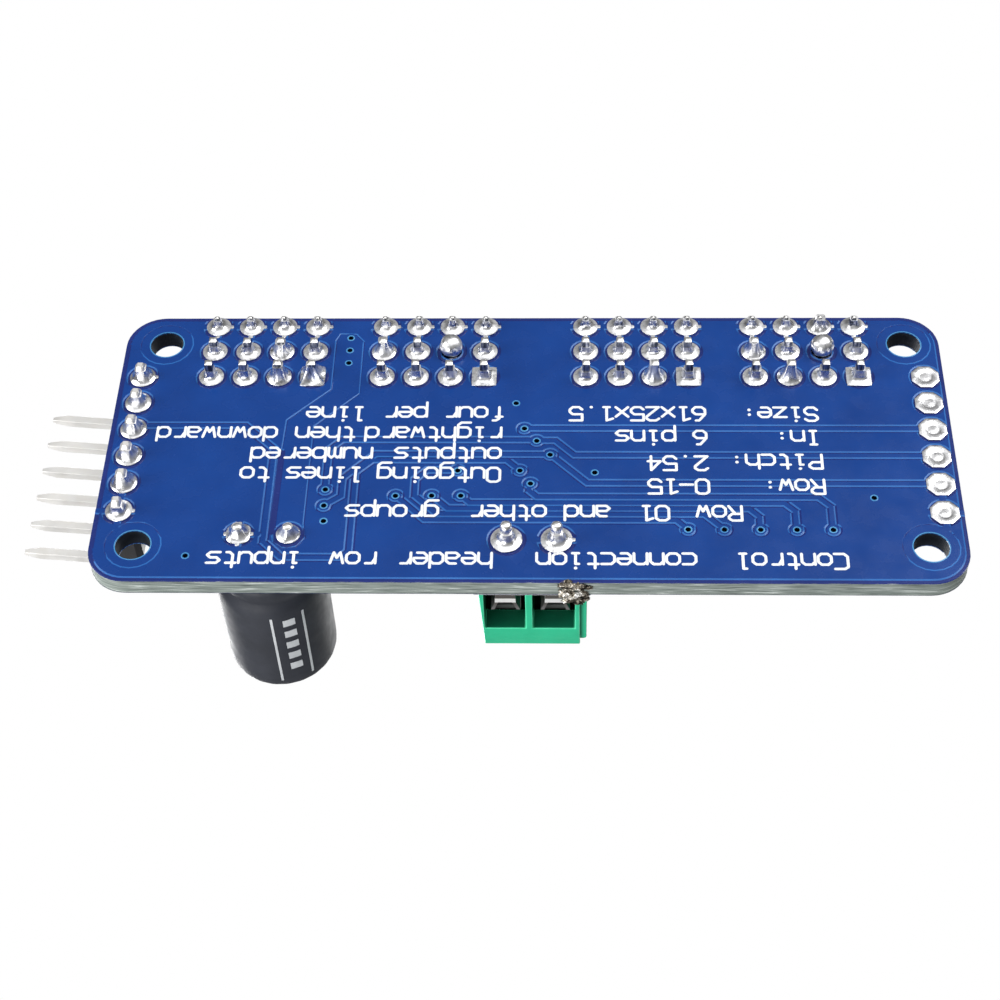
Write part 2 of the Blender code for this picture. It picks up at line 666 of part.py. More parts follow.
def make_chip(epoxy, tin):
    middle = sum(CHIP_Z) / 2
    slit = LEAD_THICKNESS / 2 + 0.03
    reach = LEAD_PITCH * (LEADS_PER_SIDE - 1) / 2

    def body(mesh):
        corner = (CHIP_HALF_LENGTH, CHIP_HALF_WIDTH, CHIP_Z[1])
        add_box(mesh, (-CHIP_HALF_LENGTH, -CHIP_HALF_WIDTH, CHIP_Z[0]), corner)

    def slits(mesh):
        for side in (-1, 1):
            low_y, high_y = sorted((side * (CHIP_HALF_WIDTH - 0.6), side * (CHIP_HALF_WIDTH + 1.0)))
            add_box(mesh, (-reach - 0.3, low_y, middle - slit), (reach + 0.3, high_y, middle + slit))

    def leads(mesh):
        """Gull-wing leads of the -Y side, each one folded from flat strip."""
        half = LEAD_THICKNESS / 2
        foot = BOARD_THICKNESS + PAD_GAP
        root, knee, toe = CHIP_HALF_WIDTH - 0.3, CHIP_HALF_WIDTH + 0.35, CHIP_HALF_WIDTH + 1.0
        outline = ((-root, middle - half), (-root, middle + half), (-knee, middle + half))
        outline += ((-knee - 0.2, foot + 2 * half), (-toe, foot + 2 * half), (-toe, foot))
        outline += ((-knee - 0.13, foot), (-knee + 0.1, middle - half))
        for i in range(LEADS_PER_SIDE):
            x = LEAD_PITCH * i - reach
            add_prism(mesh, outline, x - LEAD_HALF_WIDTH, x + LEAD_HALF_WIDTH, "x")

    def rail(mesh):
        half = LEAD_THICKNESS / 2 - 0.01
        low = (-reach - 0.15, -CHIP_HALF_WIDTH + 0.1, middle - half)
        add_box(mesh, low, (reach + 0.15, -CHIP_HALF_WIDTH + 0.5, middle + half))

    place = (CHIP_X, CHIP_Y, 0)
    combine(make("driver_chip_body", body, epoxy, place), make("chip_slits", slits, None, place))
    row = make("lead_blank", leads)
    combine(row, make("lead_rail", rail), "UNION")
    row_shape = settled_mesh(row)
    for label, turn in (("front", 0.0), ("back", pi)):
        place_copy(f"driver_chip_leads_{label}", row_shape, tin, place, turn)


# ---------------------------------------------------------------- small parts


def make_small_parts(ceramic_black, ceramic_tan, epoxy, lens):
    low = BOARD_THICKNESS + PAD_GAP

    def slab(size):
        def build(mesh):
            length, width, height = size
            add_box(mesh, (-length, -width, low), (length, width, low + height))

        return build

    def array(mesh):
        """Block of four resistors, with a notch between each pair of end terminals."""
        length, width, height = ARRAY_SIZE
        pitch, notch, depth = ARRAY_NOTCH
        side = [(-length, width)]
        for i in (-1, 0, 1):
            at = pitch * i
            side += [(at - notch, width), (at - notch, width - depth)]
            side += [(at + notch, width - depth), (at + notch, width)]
        side.append((length, width))
        add_prism(mesh, [(a, -b) for a, b in side] + side[::-1], low, low + height)

    def transistor(mesh):
        length, width, height = TRANSISTOR_SIZE
        add_box(mesh, (-length, -width, low + 0.1), (length, width, low + height))

    def transistor_legs(mesh):
        half, thickness = TRANSISTOR_LEG
        for x, side in TRANSISTOR_LEGS:
            near, far = sorted(side * reach for reach in TRANSISTOR_LEG_REACH)
            add_box(mesh, (x - half, near, low), (x + half, far, low + thickness))

    for i, x in enumerate(ARRAY_X):
        make(f"output_resistor_array_{i + 1}", array, ceramic_black, (x, ARRAY_Y, 0))
    for i, (x, y) in enumerate(ADDRESS_ARRAYS):
        make(f"address_resistor_array_{i + 1}", array, ceramic_black, (x, y, 0))
    legs = make("transistor_legs", transistor_legs, None, TRANSISTOR_PLACE)
    combine(make("reverse_guard_transistor", transistor, epoxy, TRANSISTOR_PLACE), legs, "UNION")
    make("power_light", slab(LIGHT_SIZE), lens, LIGHT_PLACE)
    make("light_resistor", slab(SMALL_SIZE), ceramic_black, LIGHT_RESISTOR_PLACE)
    make("enable_resistor", slab(SMALL_SIZE), ceramic_black, ENABLE_RESISTOR_PLACE)
    make("ceramic_capacitor_1", slab(CERAMIC_SIZE), ceramic_tan, CERAMIC_PLACES[0])
    make("ceramic_capacitor_2", slab(CERAMIC_SIZE), ceramic_tan, CERAMIC_PLACES[1])


def main():
    clear_scene()
    tin = material("tin", (0.78, 0.77, 0.75), 0.3, 1.0)
    header_black = material("header_black", (0.02, 0.02, 0.022), 0.5)
    epoxy = material("epoxy", (0.03, 0.03, 0.032), 0.6)
    rows = {
        "signal": material("header_yellow", (0.85, 0.62, 0.05), 0.5),
        "supply": material("header_red", (0.62, 0.03, 0.03), 0.5),
        "ground": header_black,
    }
    make_board(material("solder_mask_blue", (0.02, 0.07, 0.36), 0.3))
    make_servo_headers(rows, tin)
    make_control_header(header_black, material("tin_pale", (0.85, 0.82, 0.76), 0.35, 1.0))
    make_terminal(
        material("terminal_green", (0.05, 0.48, 0.27), 0.45),
        material("screw_steel", (0.62, 0.62, 0.64), 0.3, 1.0),
        material("clamp_nickel", (0.75, 0.75, 0.76), 0.25, 1.0),
        tin,
    )
    make_capacitor(
        material("sleeve_black", (0.035, 0.035, 0.04), 0.4),
        material("can_aluminium", (0.8, 0.8, 0.82), 0.3, 1.0),
        material("seal_rubber", (0.05, 0.05, 0.05), 0.8),
        material("winding_paper", (0.7, 0.6, 0.42), 0.8),
        tin,
    )
    make_chip(epoxy, tin)
    make_small_parts(
        material("ceramic_black", (0.04, 0.04, 0.045), 0.5),
        material("ceramic_tan", (0.5, 0.36, 0.22), 0.5),
        epoxy,
        material("light_lens", (0.75, 0.85, 0.55), 0.3),
    )


main()
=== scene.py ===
"""The looks of the servo driver board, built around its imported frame.

Lengths are in millimetres until a mesh is made, where MM turns them into metres. The solder face of the
board lies on z = 0 and looks towards -Z; the component face looks towards +Z. Text on the solder face
reads towards -X, with its upper side towards +Y.
"""

import random
from math import atan2, copysign, cos, hypot, pi, radians, sin, tau

import bmesh
import bpy
from mathutils import Matrix, Vector, noise
from mathutils.geometry import delaunay_2d_cdt


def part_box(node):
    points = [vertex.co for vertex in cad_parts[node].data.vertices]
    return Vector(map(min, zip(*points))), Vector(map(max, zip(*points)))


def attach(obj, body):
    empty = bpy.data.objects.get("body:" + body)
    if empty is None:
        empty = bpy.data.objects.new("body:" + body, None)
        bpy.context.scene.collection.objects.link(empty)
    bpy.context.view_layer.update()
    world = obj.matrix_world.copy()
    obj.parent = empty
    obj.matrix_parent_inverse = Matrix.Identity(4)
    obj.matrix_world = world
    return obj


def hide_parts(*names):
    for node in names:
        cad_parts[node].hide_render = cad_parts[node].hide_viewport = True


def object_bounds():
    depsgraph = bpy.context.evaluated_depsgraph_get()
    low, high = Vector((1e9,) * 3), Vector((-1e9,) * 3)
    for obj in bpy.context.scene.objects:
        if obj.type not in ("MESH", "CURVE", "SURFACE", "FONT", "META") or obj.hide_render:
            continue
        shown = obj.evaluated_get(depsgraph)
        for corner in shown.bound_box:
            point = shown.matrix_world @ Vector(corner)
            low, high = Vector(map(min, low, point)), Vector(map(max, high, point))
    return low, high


MM = 0.001
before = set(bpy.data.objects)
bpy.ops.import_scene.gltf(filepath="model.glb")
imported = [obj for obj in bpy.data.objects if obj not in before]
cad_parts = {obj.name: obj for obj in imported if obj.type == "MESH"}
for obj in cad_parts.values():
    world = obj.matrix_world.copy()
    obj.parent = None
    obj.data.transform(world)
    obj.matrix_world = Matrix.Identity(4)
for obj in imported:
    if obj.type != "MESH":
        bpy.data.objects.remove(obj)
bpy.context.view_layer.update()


def box(node):
    """Lowest and highest corner of a CAD node, in millimetres."""
    low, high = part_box(node)
    return low / MM, high / MM


def middle(node):
    low, high = box(node)
    return (low + high) / 2


# ---------------------------------------------------------------- driving sizes

BOARD_LOW, BOARD_HIGH = box("pcb")
BOARD_TOP = BOARD_HIGH.z
BOARD_CORNER = 2.8
MOUNT_X, MOUNT_Y, MOUNT_RADIUS = 27.75, 9.51, 1.25
PITCH = 2.54
GROUPS = "abcd"
ROWS = ("signal", "supply", "ground")
PIN_HALF = 0.32
JOINT_RADIUS = 0.94
SPARE_X = 29.0
FACES = ((0.0, -1.0), (BOARD_TOP, 1.0))  # height and outward side of the solder and component faces
FOUR_WAYS = ((1, 0), (0, 1), (-1, 0), (0, -1))
CREASE = 35.0  # sharper edges than this, in degrees, stay sharp and are the ones bevelled

COPPER = 0.05  # height of the copper under the mask
SLOPE = 0.11  # width of the mask's slope over an edge of the copper
TRACE = 0.16  # half width of a trace
GAP = 0.24  # clear width between a trace and the pour
EDGE_CLEAR = 0.38  # the pour stops this far inside the board's edge
EDGE_BAND = 0.1  # points of the laminate's outline lie closer to the board's edge than this
INK = 0.02
INK_HALF = 0.1
VIA_HOLE = 0.21
VIA_RING = 0.31
VIA_COPPER = 0.42


# ---------------------------------------------------------------- materials


def srgb(red, green, blue):
    """Linear colour of an 8-bit sRGB one."""
    shares = [channel / 255 for channel in (red, green, blue)]
    return tuple(s / 12.92 if s < 11 / 255 else ((s + 0.055) / 1.055) ** 2.4 for s in shares)


def set_stops(ramp, stops):
    """Fill a colour ramp with (position, linear colour) stops."""
    points = ramp.color_ramp.elements
    while len(points) < len(stops):
        points.new(0.5)
    for point, (position, color) in zip(points, stops):
        point.position = position
        point.color = (*color, 1.0)


class Look:
    """A Principled material, with short ways to drive its sockets from patterns fixed to the object."""

    def __init__(self, name, color, roughness, metallic=0.0, shine=0.5):
        self.made = bpy.data.materials.new(name)
        self.made.use_nodes = True
        self.tree = self.made.node_tree
        self.shader = self.tree.nodes["Principled BSDF"]
        self.shader.inputs["Base Color"].default_value = (*color, 1.0)
        self.shader.inputs["Roughness"].default_value = roughness
        self.shader.inputs["Metallic"].default_value = metallic
        self.shader.inputs["Specular IOR Level"].default_value = shine
        self.place = self.add("ShaderNodeTexCoord").outputs["Object"]

    def add(self, kind, **settings):
        node = self.tree.nodes.new(kind)
        for key, value in settings.items():
            setattr(node, key, value)
        return node

    def link(self, source, target):
        self.tree.links.new(source, target)

    def noise(self, size, detail=3.0, stretch=(1, 1, 1), distortion=0.0):
        """Noise whose blobs are about size millimetres across."""
        mapping = self.add("ShaderNodeMapping")
        mapping.inputs["Scale"].default_value = [s / (size * MM) for s in stretch]
        pattern = self.add("ShaderNodeTexNoise")
        pattern.inputs["Scale"].default_value = 1.0
        pattern.inputs["Detail"].default_value = detail
        pattern.inputs["Distortion"].default_value = distortion
        self.link(self.place, mapping.inputs["Vector"])
        self.link(mapping.outputs["Vector"], pattern.inputs["Vector"])
        return pattern.outputs["Fac"]

    def spread(self, factor, low, high, start=0.3, end=0.7):
        """factor between start and end, as a number between low and high."""
        node = self.add("ShaderNodeMapRange")
        for socket, value in zip(("From Min", "From Max", "To Min", "To Max"), (start, end, low, high)):
            node.inputs[socket].default_value = value
        self.link(factor, node.inputs["Value"])
        return node.outputs["Result"]

    def colors(self, factor, *stops):
        """Colour ramp through (position, linear colour) stops, into Base Color."""
        ramp = self.add("ShaderNodeValToRGB")
        set_stops(ramp, stops)
        self.link(factor, ramp.inputs["Fac"])
        self.link(ramp.outputs["Color"], self.shader.inputs["Base Color"])
        return self

    def rough(self, factor, low, high):
        self.link(self.spread(factor, low, high), self.shader.inputs["Roughness"])
        return self

    def bump(self, factor, height):
        """Relief of height millimetres; a second call adds to the first."""
        node = self.add("ShaderNodeBump")
        node.inputs["Distance"].default_value = height * MM
        socket = self.shader.inputs["Normal"]
        if socket.links:
            self.link(socket.links[0].from_socket, node.inputs["Normal"])
        self.link(factor, node.inputs["Height"])
        self.link(node.outputs["Normal"], socket)
        return self


def mask_look(name, dark, light):
    look = Look(name, light, 0.25, shine=0.28)
    look.colors(look.noise(5.0, 4.0), (0.3, dark), (0.7, light))
    look.rough(look.noise(1.5), 0.2, 0.32)
    return look.bump(look.noise(0.5, 2.0), 0.004)


def metal_look(name, dark, light, low, high, grain, relief):
    look = Look(name, light, high, 1.0)
    look.colors(look.noise(grain * 2), (0.3, dark), (0.7, light))
    look.rough(look.noise(grain * 3, 2.0), low, high)
    return look.bump(look.noise(grain), relief)


def solder_look(name, darkest):
    """Bright solder, with a few dull streaks that run up the joint."""
    look = Look(name, (0.95, 0.95, 0.95), 0.3, 1.0)
    dull = (darkest, darkest, darkest * 1.03)
    look.colors(look.noise(0.3, 3.0, (1, 1, 0.25)), (0.3, dull), (0.5, (0.88, 0.88, 0.89)))
    look.rough(look.noise(0.9, 2.0), 0.2, 0.4)
    return look.bump(look.noise(0.22, 3.0), 0.008)


def tail_look():
    """Sides of a pin's tail under the board: painted shade, dark tin with streaks along the pin, some of them
    light as painted highlights.
    """
    look = Look("tail_painted_shade_and_highlight", (0.4, 0.4, 0.42), 0.35, 1.0)
    look.colors(
        look.noise(0.2, 2.0, (1, 1, 0.1)),
        (0.36, (0.06, 0.07, 0.1)),
        (0.56, (0.3, 0.32, 0.38)),
        (0.68, (0.9, 0.9, 0.9)),
    )
    return look.bump(look.noise(0.25, 2.0), 0.006)


def plastic_look(name, dark, light, low, high, grain=0.12, relief=0.006, shine=0.5):
    look = Look(name, light, high, shine=shine)
    look.colors(look.noise(2.5, 4.0), (0.3, dark), (0.7, light))
    look.rough(look.noise(0.8), low, high)
    return look.bump(look.noise(grain, 2.0), relief)


def clamp_look():
    """Plated steel painted dark as shade inside the housing, with a painted highlight in a band along the lip
    under the clamp's opening.
    """
    look = Look("clamp", (0.4, 0.4, 0.4), 0.3, 0.4)
    split = look.add("ShaderNodeSeparateXYZ")
    look.link(look.place, split.inputs["Vector"])
    height = look.spread(split.outputs["Z"], 0.0, 1.0, 2.1 * MM, 4.3 * MM)
    # Dark everywhere as painted shade, and near white in a band on the lip as a painted highlight.
    dull, lip_highlight = (0.1, 0.09, 0.085), (0.95, 0.95, 0.94)
    lip = ((0.37, dull), (0.4, lip_highlight), (0.57, lip_highlight), (0.62, dull))
    look.colors(height, (0.0, dull), *lip, (1.0, (0.2, 0.2, 0.2)))
    return look.bump(look.noise(0.4, 2.0), 0.006)


def laminate_look():
    """Sawn edge of glass and resin: thin streaks along the board, lighter where fibres were torn."""
    look = Look("laminate", srgb(150, 158, 162), 0.7)
    streaks = look.noise(0.9, 6.0, (0.35, 0.35, 6.0), 0.4)
    look.colors(
        streaks,
        (0.28, srgb(82, 90, 87)),
        (0.42, srgb(116, 126, 121)),
        (0.58, srgb(146, 155, 150)),
        (0.72, srgb(214, 221, 218)),
    )
    look.bump(streaks, 0.05)
    return look.bump(look.noise(0.12, 2.0), 0.02)


def residue_look():
    """Flux and solder: blotches that run from near black to near white."""
    look = Look("residue", (0.5, 0.45, 0.35), 0.4, 0.8)
    look.colors(
        look.noise(0.5, 4.0, distortion=0.8),
        (0.36, srgb(24, 22, 20)),
        (0.47, srgb(104, 96, 84)),
        (0.57, srgb(190, 182, 168)),
        (0.68, srgb(250, 249, 246)),
    )
    return look.bump(look.noise(0.18), 0.06)


# Lacquer of the board: dark and light sRGB colour.
MASKS = {
    "mask_copper": ((4, 51, 120), (10, 59, 132)),
    "mask_bare": ((18, 36, 100), (28, 44, 112)),
    # Next: a lighter mask colour, a painted highlight for the slopes of traces that face +Y.
    "mask_painted_highlight": ((28, 86, 156), (46, 106, 176)),
    "mask_rim": ((50, 116, 172), (84, 150, 196)),
}
# Metals: dark and light linear colour, lowest and highest roughness, size and relief of the grain.
METALS = {
    "pin_tin": ((0.82, 0.81, 0.79), (0.93, 0.92, 0.9), 0.2, 0.34, 0.4, 0.004),
    "pin_gold": ((0.93, 0.91, 0.87), (0.97, 0.96, 0.94), 0.4, 0.5, 0.5, 0.004),
    "steel": ((0.55, 0.55, 0.56), (0.72, 0.72, 0.73), 0.22, 0.4, 0.3, 0.006),
    "aluminium": ((0.72, 0.72, 0.74), (0.86, 0.86, 0.88), 0.22, 0.36, 0.6, 0.004),
}
# Plastics, ink and ceramic: dark and light sRGB colour, lowest and highest roughness. Size and relief
# of the grain and the shine follow where they differ from the usual ones.
PLASTICS = {
    # bore: near-black blue, painted shade on the walls of the holes.
    "bore": ((20, 26, 34), (36, 44, 56), 0.6, 0.8, 0.12, 0.006, 0.15),
    "ink": ((212, 217, 222), (238, 240, 242), 0.45, 0.6, 0.1, 0.004),
    "green": ((34, 178, 132), (46, 194, 146), 0.4, 0.55, 0.12, 0.006, 0.3),
    # Next: darker green, painted shade for the faces deep in the clamp pockets.
    "green_painted_shade": ((8, 102, 74), (16, 122, 90), 0.45, 0.6, 0.12, 0.006, 0.2),
    # Next: lighter green, a painted highlight on the bevelled edges.
    "green_painted_edge_highlight": ((66, 210, 158), (88, 228, 178), 0.35, 0.5, 0.12, 0.006, 0.4),
    "black": ((20, 20, 22), (34, 34, 37), 0.4, 0.55),
    "red": ((176, 20, 22), (202, 32, 30), 0.4, 0.55),
    "yellow": ((236, 190, 24), (250, 208, 40), 0.4, 0.55),
    "sleeve": ((36, 39, 47), (46, 49, 58), 0.5, 0.62, 0.5, 0.006, 0.35),
    "sleeve_ink": ((176, 180, 184), (214, 217, 220), 0.5, 0.65),
    "rubber": ((24, 24, 25), (40, 40, 41), 0.65, 0.8),
    "paper": ((190, 170, 130), (214, 196, 156), 0.7, 0.85),
    "epoxy": ((26, 27, 29), (42, 43, 46), 0.5, 0.65, 0.08, 0.01),
    "film": ((18, 18, 20), (30, 30, 33), 0.25, 0.4),
    "ceramic": ((214, 214, 208), (236, 236, 231), 0.5, 0.65),
    "tan": ((148, 112, 78), (176, 138, 98), 0.4, 0.55),
    "lens": ((206, 222, 160), (232, 242, 196), 0.12, 0.25),
}
LOOKS = {name: mask_look(name, srgb(*dark), srgb(*light)) for name, (dark, light) in MASKS.items()}
LOOKS |= {name: metal_look(name, *values) for name, values in METALS.items()}
for plastic, (dark_side, light_side, *surface) in PLASTICS.items():
    LOOKS[plastic] = plastic_look(plastic, srgb(*dark_side), srgb(*light_side), *surface)
# Near black: painted shade inside the vias.
LOOKS["hollow"] = plastic_look("hollow", (0.002, 0.002, 0.003), (0.005, 0.005, 0.007), 0.8, 0.9, shine=0.05)
LOOKS["laminate"] = laminate_look()
LOOKS["solder"] = solder_look("solder", 0.5)
LOOKS["solder_dull"] = solder_look("solder_dull", 0.18)
LOOKS["tail_painted_shade_and_highlight"] = tail_look()
LOOKS["clamp"] = clamp_look()
LOOKS["residue"] = residue_look()


# ---------------------------------------------------------------- mesh helpers


def finished(item, looks, nodes=(), body="board"):
    """Give a new object its materials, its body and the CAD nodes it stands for."""
    for look in looks:
        item.data.materials.append(LOOKS[look].made)
    bpy.context.scene.collection.objects.link(item)
    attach(item, body)
    if nodes:
        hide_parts(*nodes)
    return item


def mesh_data(name, build, outward=True, crease=CREASE):
    """Mesh drawn by build(mesh) in millimetres, smooth but for edges sharper than crease degrees."""
    mesh = bmesh.new()
    build(mesh)
    if outward:
        bmesh.ops.recalc_face_normals(mesh, faces=mesh.faces)
    data = bpy.data.meshes.new(name)
    mesh.to_mesh(data)
    mesh.free()
    data.transform(Matrix.Scale(MM, 4))
    data.shade_smooth()
    data.set_sharp_from_angle(angle=radians(crease))
    return data


def piece(name, build, looks, nodes=(), body="board", outward=True, crease=CREASE):
    item = bpy.data.objects.new(name, mesh_data(name, build, outward, crease))
    return finished(item, looks, nodes, body)


def carved(name, build, cutters):
    """Mesh of a solid with others cut out of it."""
    solid = bpy.data.objects.new(name, mesh_data(name, build))
    bpy.context.scene.collection.objects.link(solid)
    tools = []
    for cutter in cutters:
        tool = bpy.data.objects.new("cutter", mesh_data("cutter", cutter))
        bpy.context.scene.collection.objects.link(tool)
        cut = solid.modifiers.new("cut", "BOOLEAN")
        cut.operation = "DIFFERENCE"
        cut.solver = "EXACT"
        cut.object = tool
        tools.append(tool)
    bpy.context.view_layer.update()
    data = bpy.data.meshes.new_from_object(solid.evaluated_get(bpy.context.evaluated_depsgraph_get()))
    for used in [solid, *tools]:
        bpy.data.objects.remove(used)
    return data


def carved_piece(name, build, cutters, looks, nodes, body="board"):
    return finished(bpy.data.objects.new(name, carved(name, build, cutters)), looks, nodes, body)


def bevelled(item, width):
    bevel = item.modifiers.new("bevel", "BEVEL")
    bevel.width = width * MM
    bevel.segments = 2
    bevel.limit_method = "ANGLE"
    bevel.angle_limit = radians(CREASE)
    bevel.harden_normals = True
    return item


def ring(radius, z, count, x=0.0, y=0.0):
    """Ring of points about a vertical axis. radius is a number, or a function of the angle."""
    points = []
    for i in range(count):
        angle = tau * i / count
        reach = radius(angle) if callable(radius) else radius
        points.append((x + reach * cos(angle), y + reach * sin(angle), z))
    return points


def squared(radius, power):
    """Radius by angle of a ring that a power above 2 squares off."""
    return lambda angle: radius / (abs(cos(angle)) ** power + abs(sin(angle)) ** power) ** (1 / power)


def octagon(radius):
    """Radius by angle of an eight-sided ring with flat sides on the axes."""
    return lambda angle: radius * cos(pi / 8) / cos((angle + pi / 8) % (pi / 4) - pi / 8)


def add_loft(mesh, rings, index=0, caps=True):
    rows = [[mesh.verts.new(point) for point in points] for points in rings]
    count = len(rows[0])
    faces = []
    for low, high in zip(rows, rows[1:]):
        for i in range(count):
            j = (i + 1) % count
            faces.append(mesh.faces.new((low[i], low[j], high[j], high[i])))
    if caps:
        faces += [mesh.faces.new(reversed(rows[0])), mesh.faces.new(rows[-1])]
    for face in faces:
        face.material_index = index
    return faces


def rectangle(low, high):
    return [(low[0], low[1]), (high[0], low[1]), (high[0], high[1]), (low[0], high[1])]


def add_prism(mesh, outline, low, high, along="z", index=0):
    """Outline pushed along an axis; its points are the other two axes in X, Y, Z order."""
    place = {
        "x": lambda a, b, depth: (depth, a, b),
        "y": lambda a, b, depth: (a, depth, b),
        "z": lambda a, b, depth: (a, b, depth),
    }[along]
    add_loft(mesh, [[place(a, b, depth) for a, b in outline] for depth in (low, high)], index)


def add_box(mesh, low, high, index=0):
    add_prism(mesh, rectangle(low, high), low[2], high[2], index=index)


def add_lathe(mesh, profile, count, x, y):
    """Open profile of (radius, z) points turned about an axis and closed by a cap at each end."""
    add_loft(mesh, [ring(radius, z, count, x, y) for radius, z in profile])


def neighbours(loop):
    """Each item of a closed loop with the next one."""
    return zip(loop, loop[1:] + loop[:1])


def note_edge(rims, a, b, value):
    """Keep the edge from a to b until a face on its other side cancels it."""
    if (b, a) in rims:
        del rims[b, a]
    else:
        rims[a, b] = value


def drop_loose(mesh):
    loose = [vert for vert in mesh.verts if not vert.link_faces]
    bmesh.ops.delete(mesh, geom=loose, context="VERTS")


def arc(radius, start, end, steps, x=0.0, y=0.0):
    """Points on an arc, with its angles in degrees."""
    angles = [radians(start + (end - start) * i / steps) for i in range(steps + 1)]
    return [(x + radius * cos(a), y + radius * sin(a)) for a in angles]


def circle(x, y, radius, count=24):
    return [(x + radius * cos(tau * i / count), y + radius * sin(tau * i / count)) for i in range(count)]


def board_outline(inset, spacing=None):
    """The board's rounded outline, moved inwards; spacing adds points along its straight sides."""
    low = (BOARD_LOW.x + inset, BOARD_LOW.y + inset)
    high = (BOARD_HIGH.x - inset, BOARD_HIGH.y - inset)
    radius = BOARD_CORNER - inset
    corners = (
        (high[0] - radius, high[1] - radius, 0),
        (low[0] + radius, high[1] - radius, 90),
        (low[0] + radius, low[1] + radius, 180),
        (high[0] - radius, low[1] + radius, 270),
    )
    points = []
    for x, y, start in corners:
        points += arc(radius, start, start + 90, 10, x, y)
    if not spacing:
        return points
    fine = []
    for (ax, ay), (bx, by) in neighbours(points):
        steps = max(1, int(hypot(bx - ax, by - ay) / spacing))
        fine += [(ax + (bx - ax) * i / steps, ay + (by - ay) * i / steps) for i in range(steps)]
    return fine


def stroke(points, half, steps=5):
    """Outline of a line drawn with a round pen."""
    if len(points) == 1 or points[0] == points[-1]:
        return circle(*points[0], half, 20)
    headings = [atan2(b[1] - a[1], b[0] - a[0]) for a, b in zip(points, points[1:])]
    left, right = [], []
    for i, (x, y) in enumerate(points[1:-1]):
        turn = (headings[i + 1] - headings[i] + pi) % tau - pi
        angle = headings[i] + turn / 2 + pi / 2
        reach = half / cos(turn / 2)
        left.append((x + reach * cos(angle), y + reach * sin(angle)))
        right.append((x - reach * cos(angle), y - reach * sin(angle)))
    start = round_cap(points[0], half, headings[0] + pi / 2, steps)
    end = round_cap(points[-1], half, headings[-1] - pi / 2, steps)
    return start + right + end + left[::-1]


def round_cap(centre, half, start, steps):
    """Half circle about the end of a line."""
    angles = [start + pi * i / steps for i in range(steps + 1)]
    return [(centre[0] + half * cos(a), centre[1] + half * sin(a)) for a in angles]


def merged(outlines):
    """Overlapping flat outlines as one sheet: its points, its triangles and what outlines lie over each."""
    points, faces = [], []
    for outline in outlines:
        faces.append(list(range(len(points), len(points) + len(outline))))
        points += [Vector(point[:2]) for point in outline]
    found = delaunay_2d_cdt(points, [], faces, 1, 1e-5)
    pairs = [(corners, set(over)) for corners, over in zip(found[2], found[5]) if over]
    return found[0], [corners for corners, _ in pairs], [over for _, over in pairs]


def add_sheet(mesh, points, triangles, height, base, up, indices=None):
    """Flat sheet with walls down to base at its rims. height is a number, or a function of x and y."""
    tall = height if callable(height) else (lambda x, y: height)
    tops = [mesh.verts.new((p.x, p.y, tall(p.x, p.y))) for p in points]
    rims = {}
    for n, corners in enumerate(triangles):
        order = list(corners) if up else list(corners)[::-1]
        face = mesh.faces.new([tops[i] for i in order])
        face.material_index = indices[n] if indices else 0
        for a, b in neighbours(order):
            note_edge(rims, a, b, face.material_index)
    feet = {}
    for (a, b), index in rims.items():
        for i in (a, b):
            if i not in feet:
                feet[i] = mesh.verts.new((points[i].x, points[i].y, base))
        mesh.faces.new((tops[b], tops[a], feet[a], feet[b])).material_index = index
    drop_loose(mesh)


# ---------------------------------------------------------------- places taken from the frame


def row_pins(group, row):
    """Centres of the four pins of one row of a servo header."""
    centre = middle(f"servo_strip_{group}_{row}")
    return [(centre.x + PITCH * (i - 1.5), centre.y) for i in range(4)]


CONTROL = [(middle("control_header_base").x, middle(f"control_pin_{i + 1}").y) for i in range(6)]
SPARE = [(SPARE_X, y) for _, y in CONTROL]
SUPPLY_TAILS = [(box(f"terminal_contact_{i}")[0].x + 1.12, 8.96) for i in (1, 2)]
CAN_LEADS = [tuple(middle(f"capacitor_lead_{end}").xy) for end in ("minus", "plus")]
MOUNTS = [(sx * MOUNT_X, sy * MOUNT_Y) for sx in (-1, 1) for sy in (-1, 1)]


# ---------------------------------------------------------------- copper under the mask

# Vias: those in the pour, and those that a trace ends on, which have a clear ring round them.
POUR_VIAS = [(-23.94, 10.44), (-13.8, -10.18), (-13.8, -8.92), (-13.8, -7.64), (-14.52, 7.36), (-1.15, -3.64)]
POUR_VIAS += [(4.58, 2.92), (24.21, 5.18)]
ADDRESS_VIAS = [(11.06 + 2.517 * i, 8.03) for i in range(5)]
TRACE_VIAS = [(-14.61, 4.52), (-14.61, 5.98), (-9.57, 5.08), (-7.0, 5.06), (-4.93, 5.06), (-5.23, 2.75)]
TRACE_VIAS += [(-0.77, 2.75), (-0.51, -1.2), (0.4, -0.03), (1.38, 1.27), (0.0, 3.94)]
TRACE_VIAS += ADDRESS_VIAS
VIAS = POUR_VIAS + TRACE_VIAS

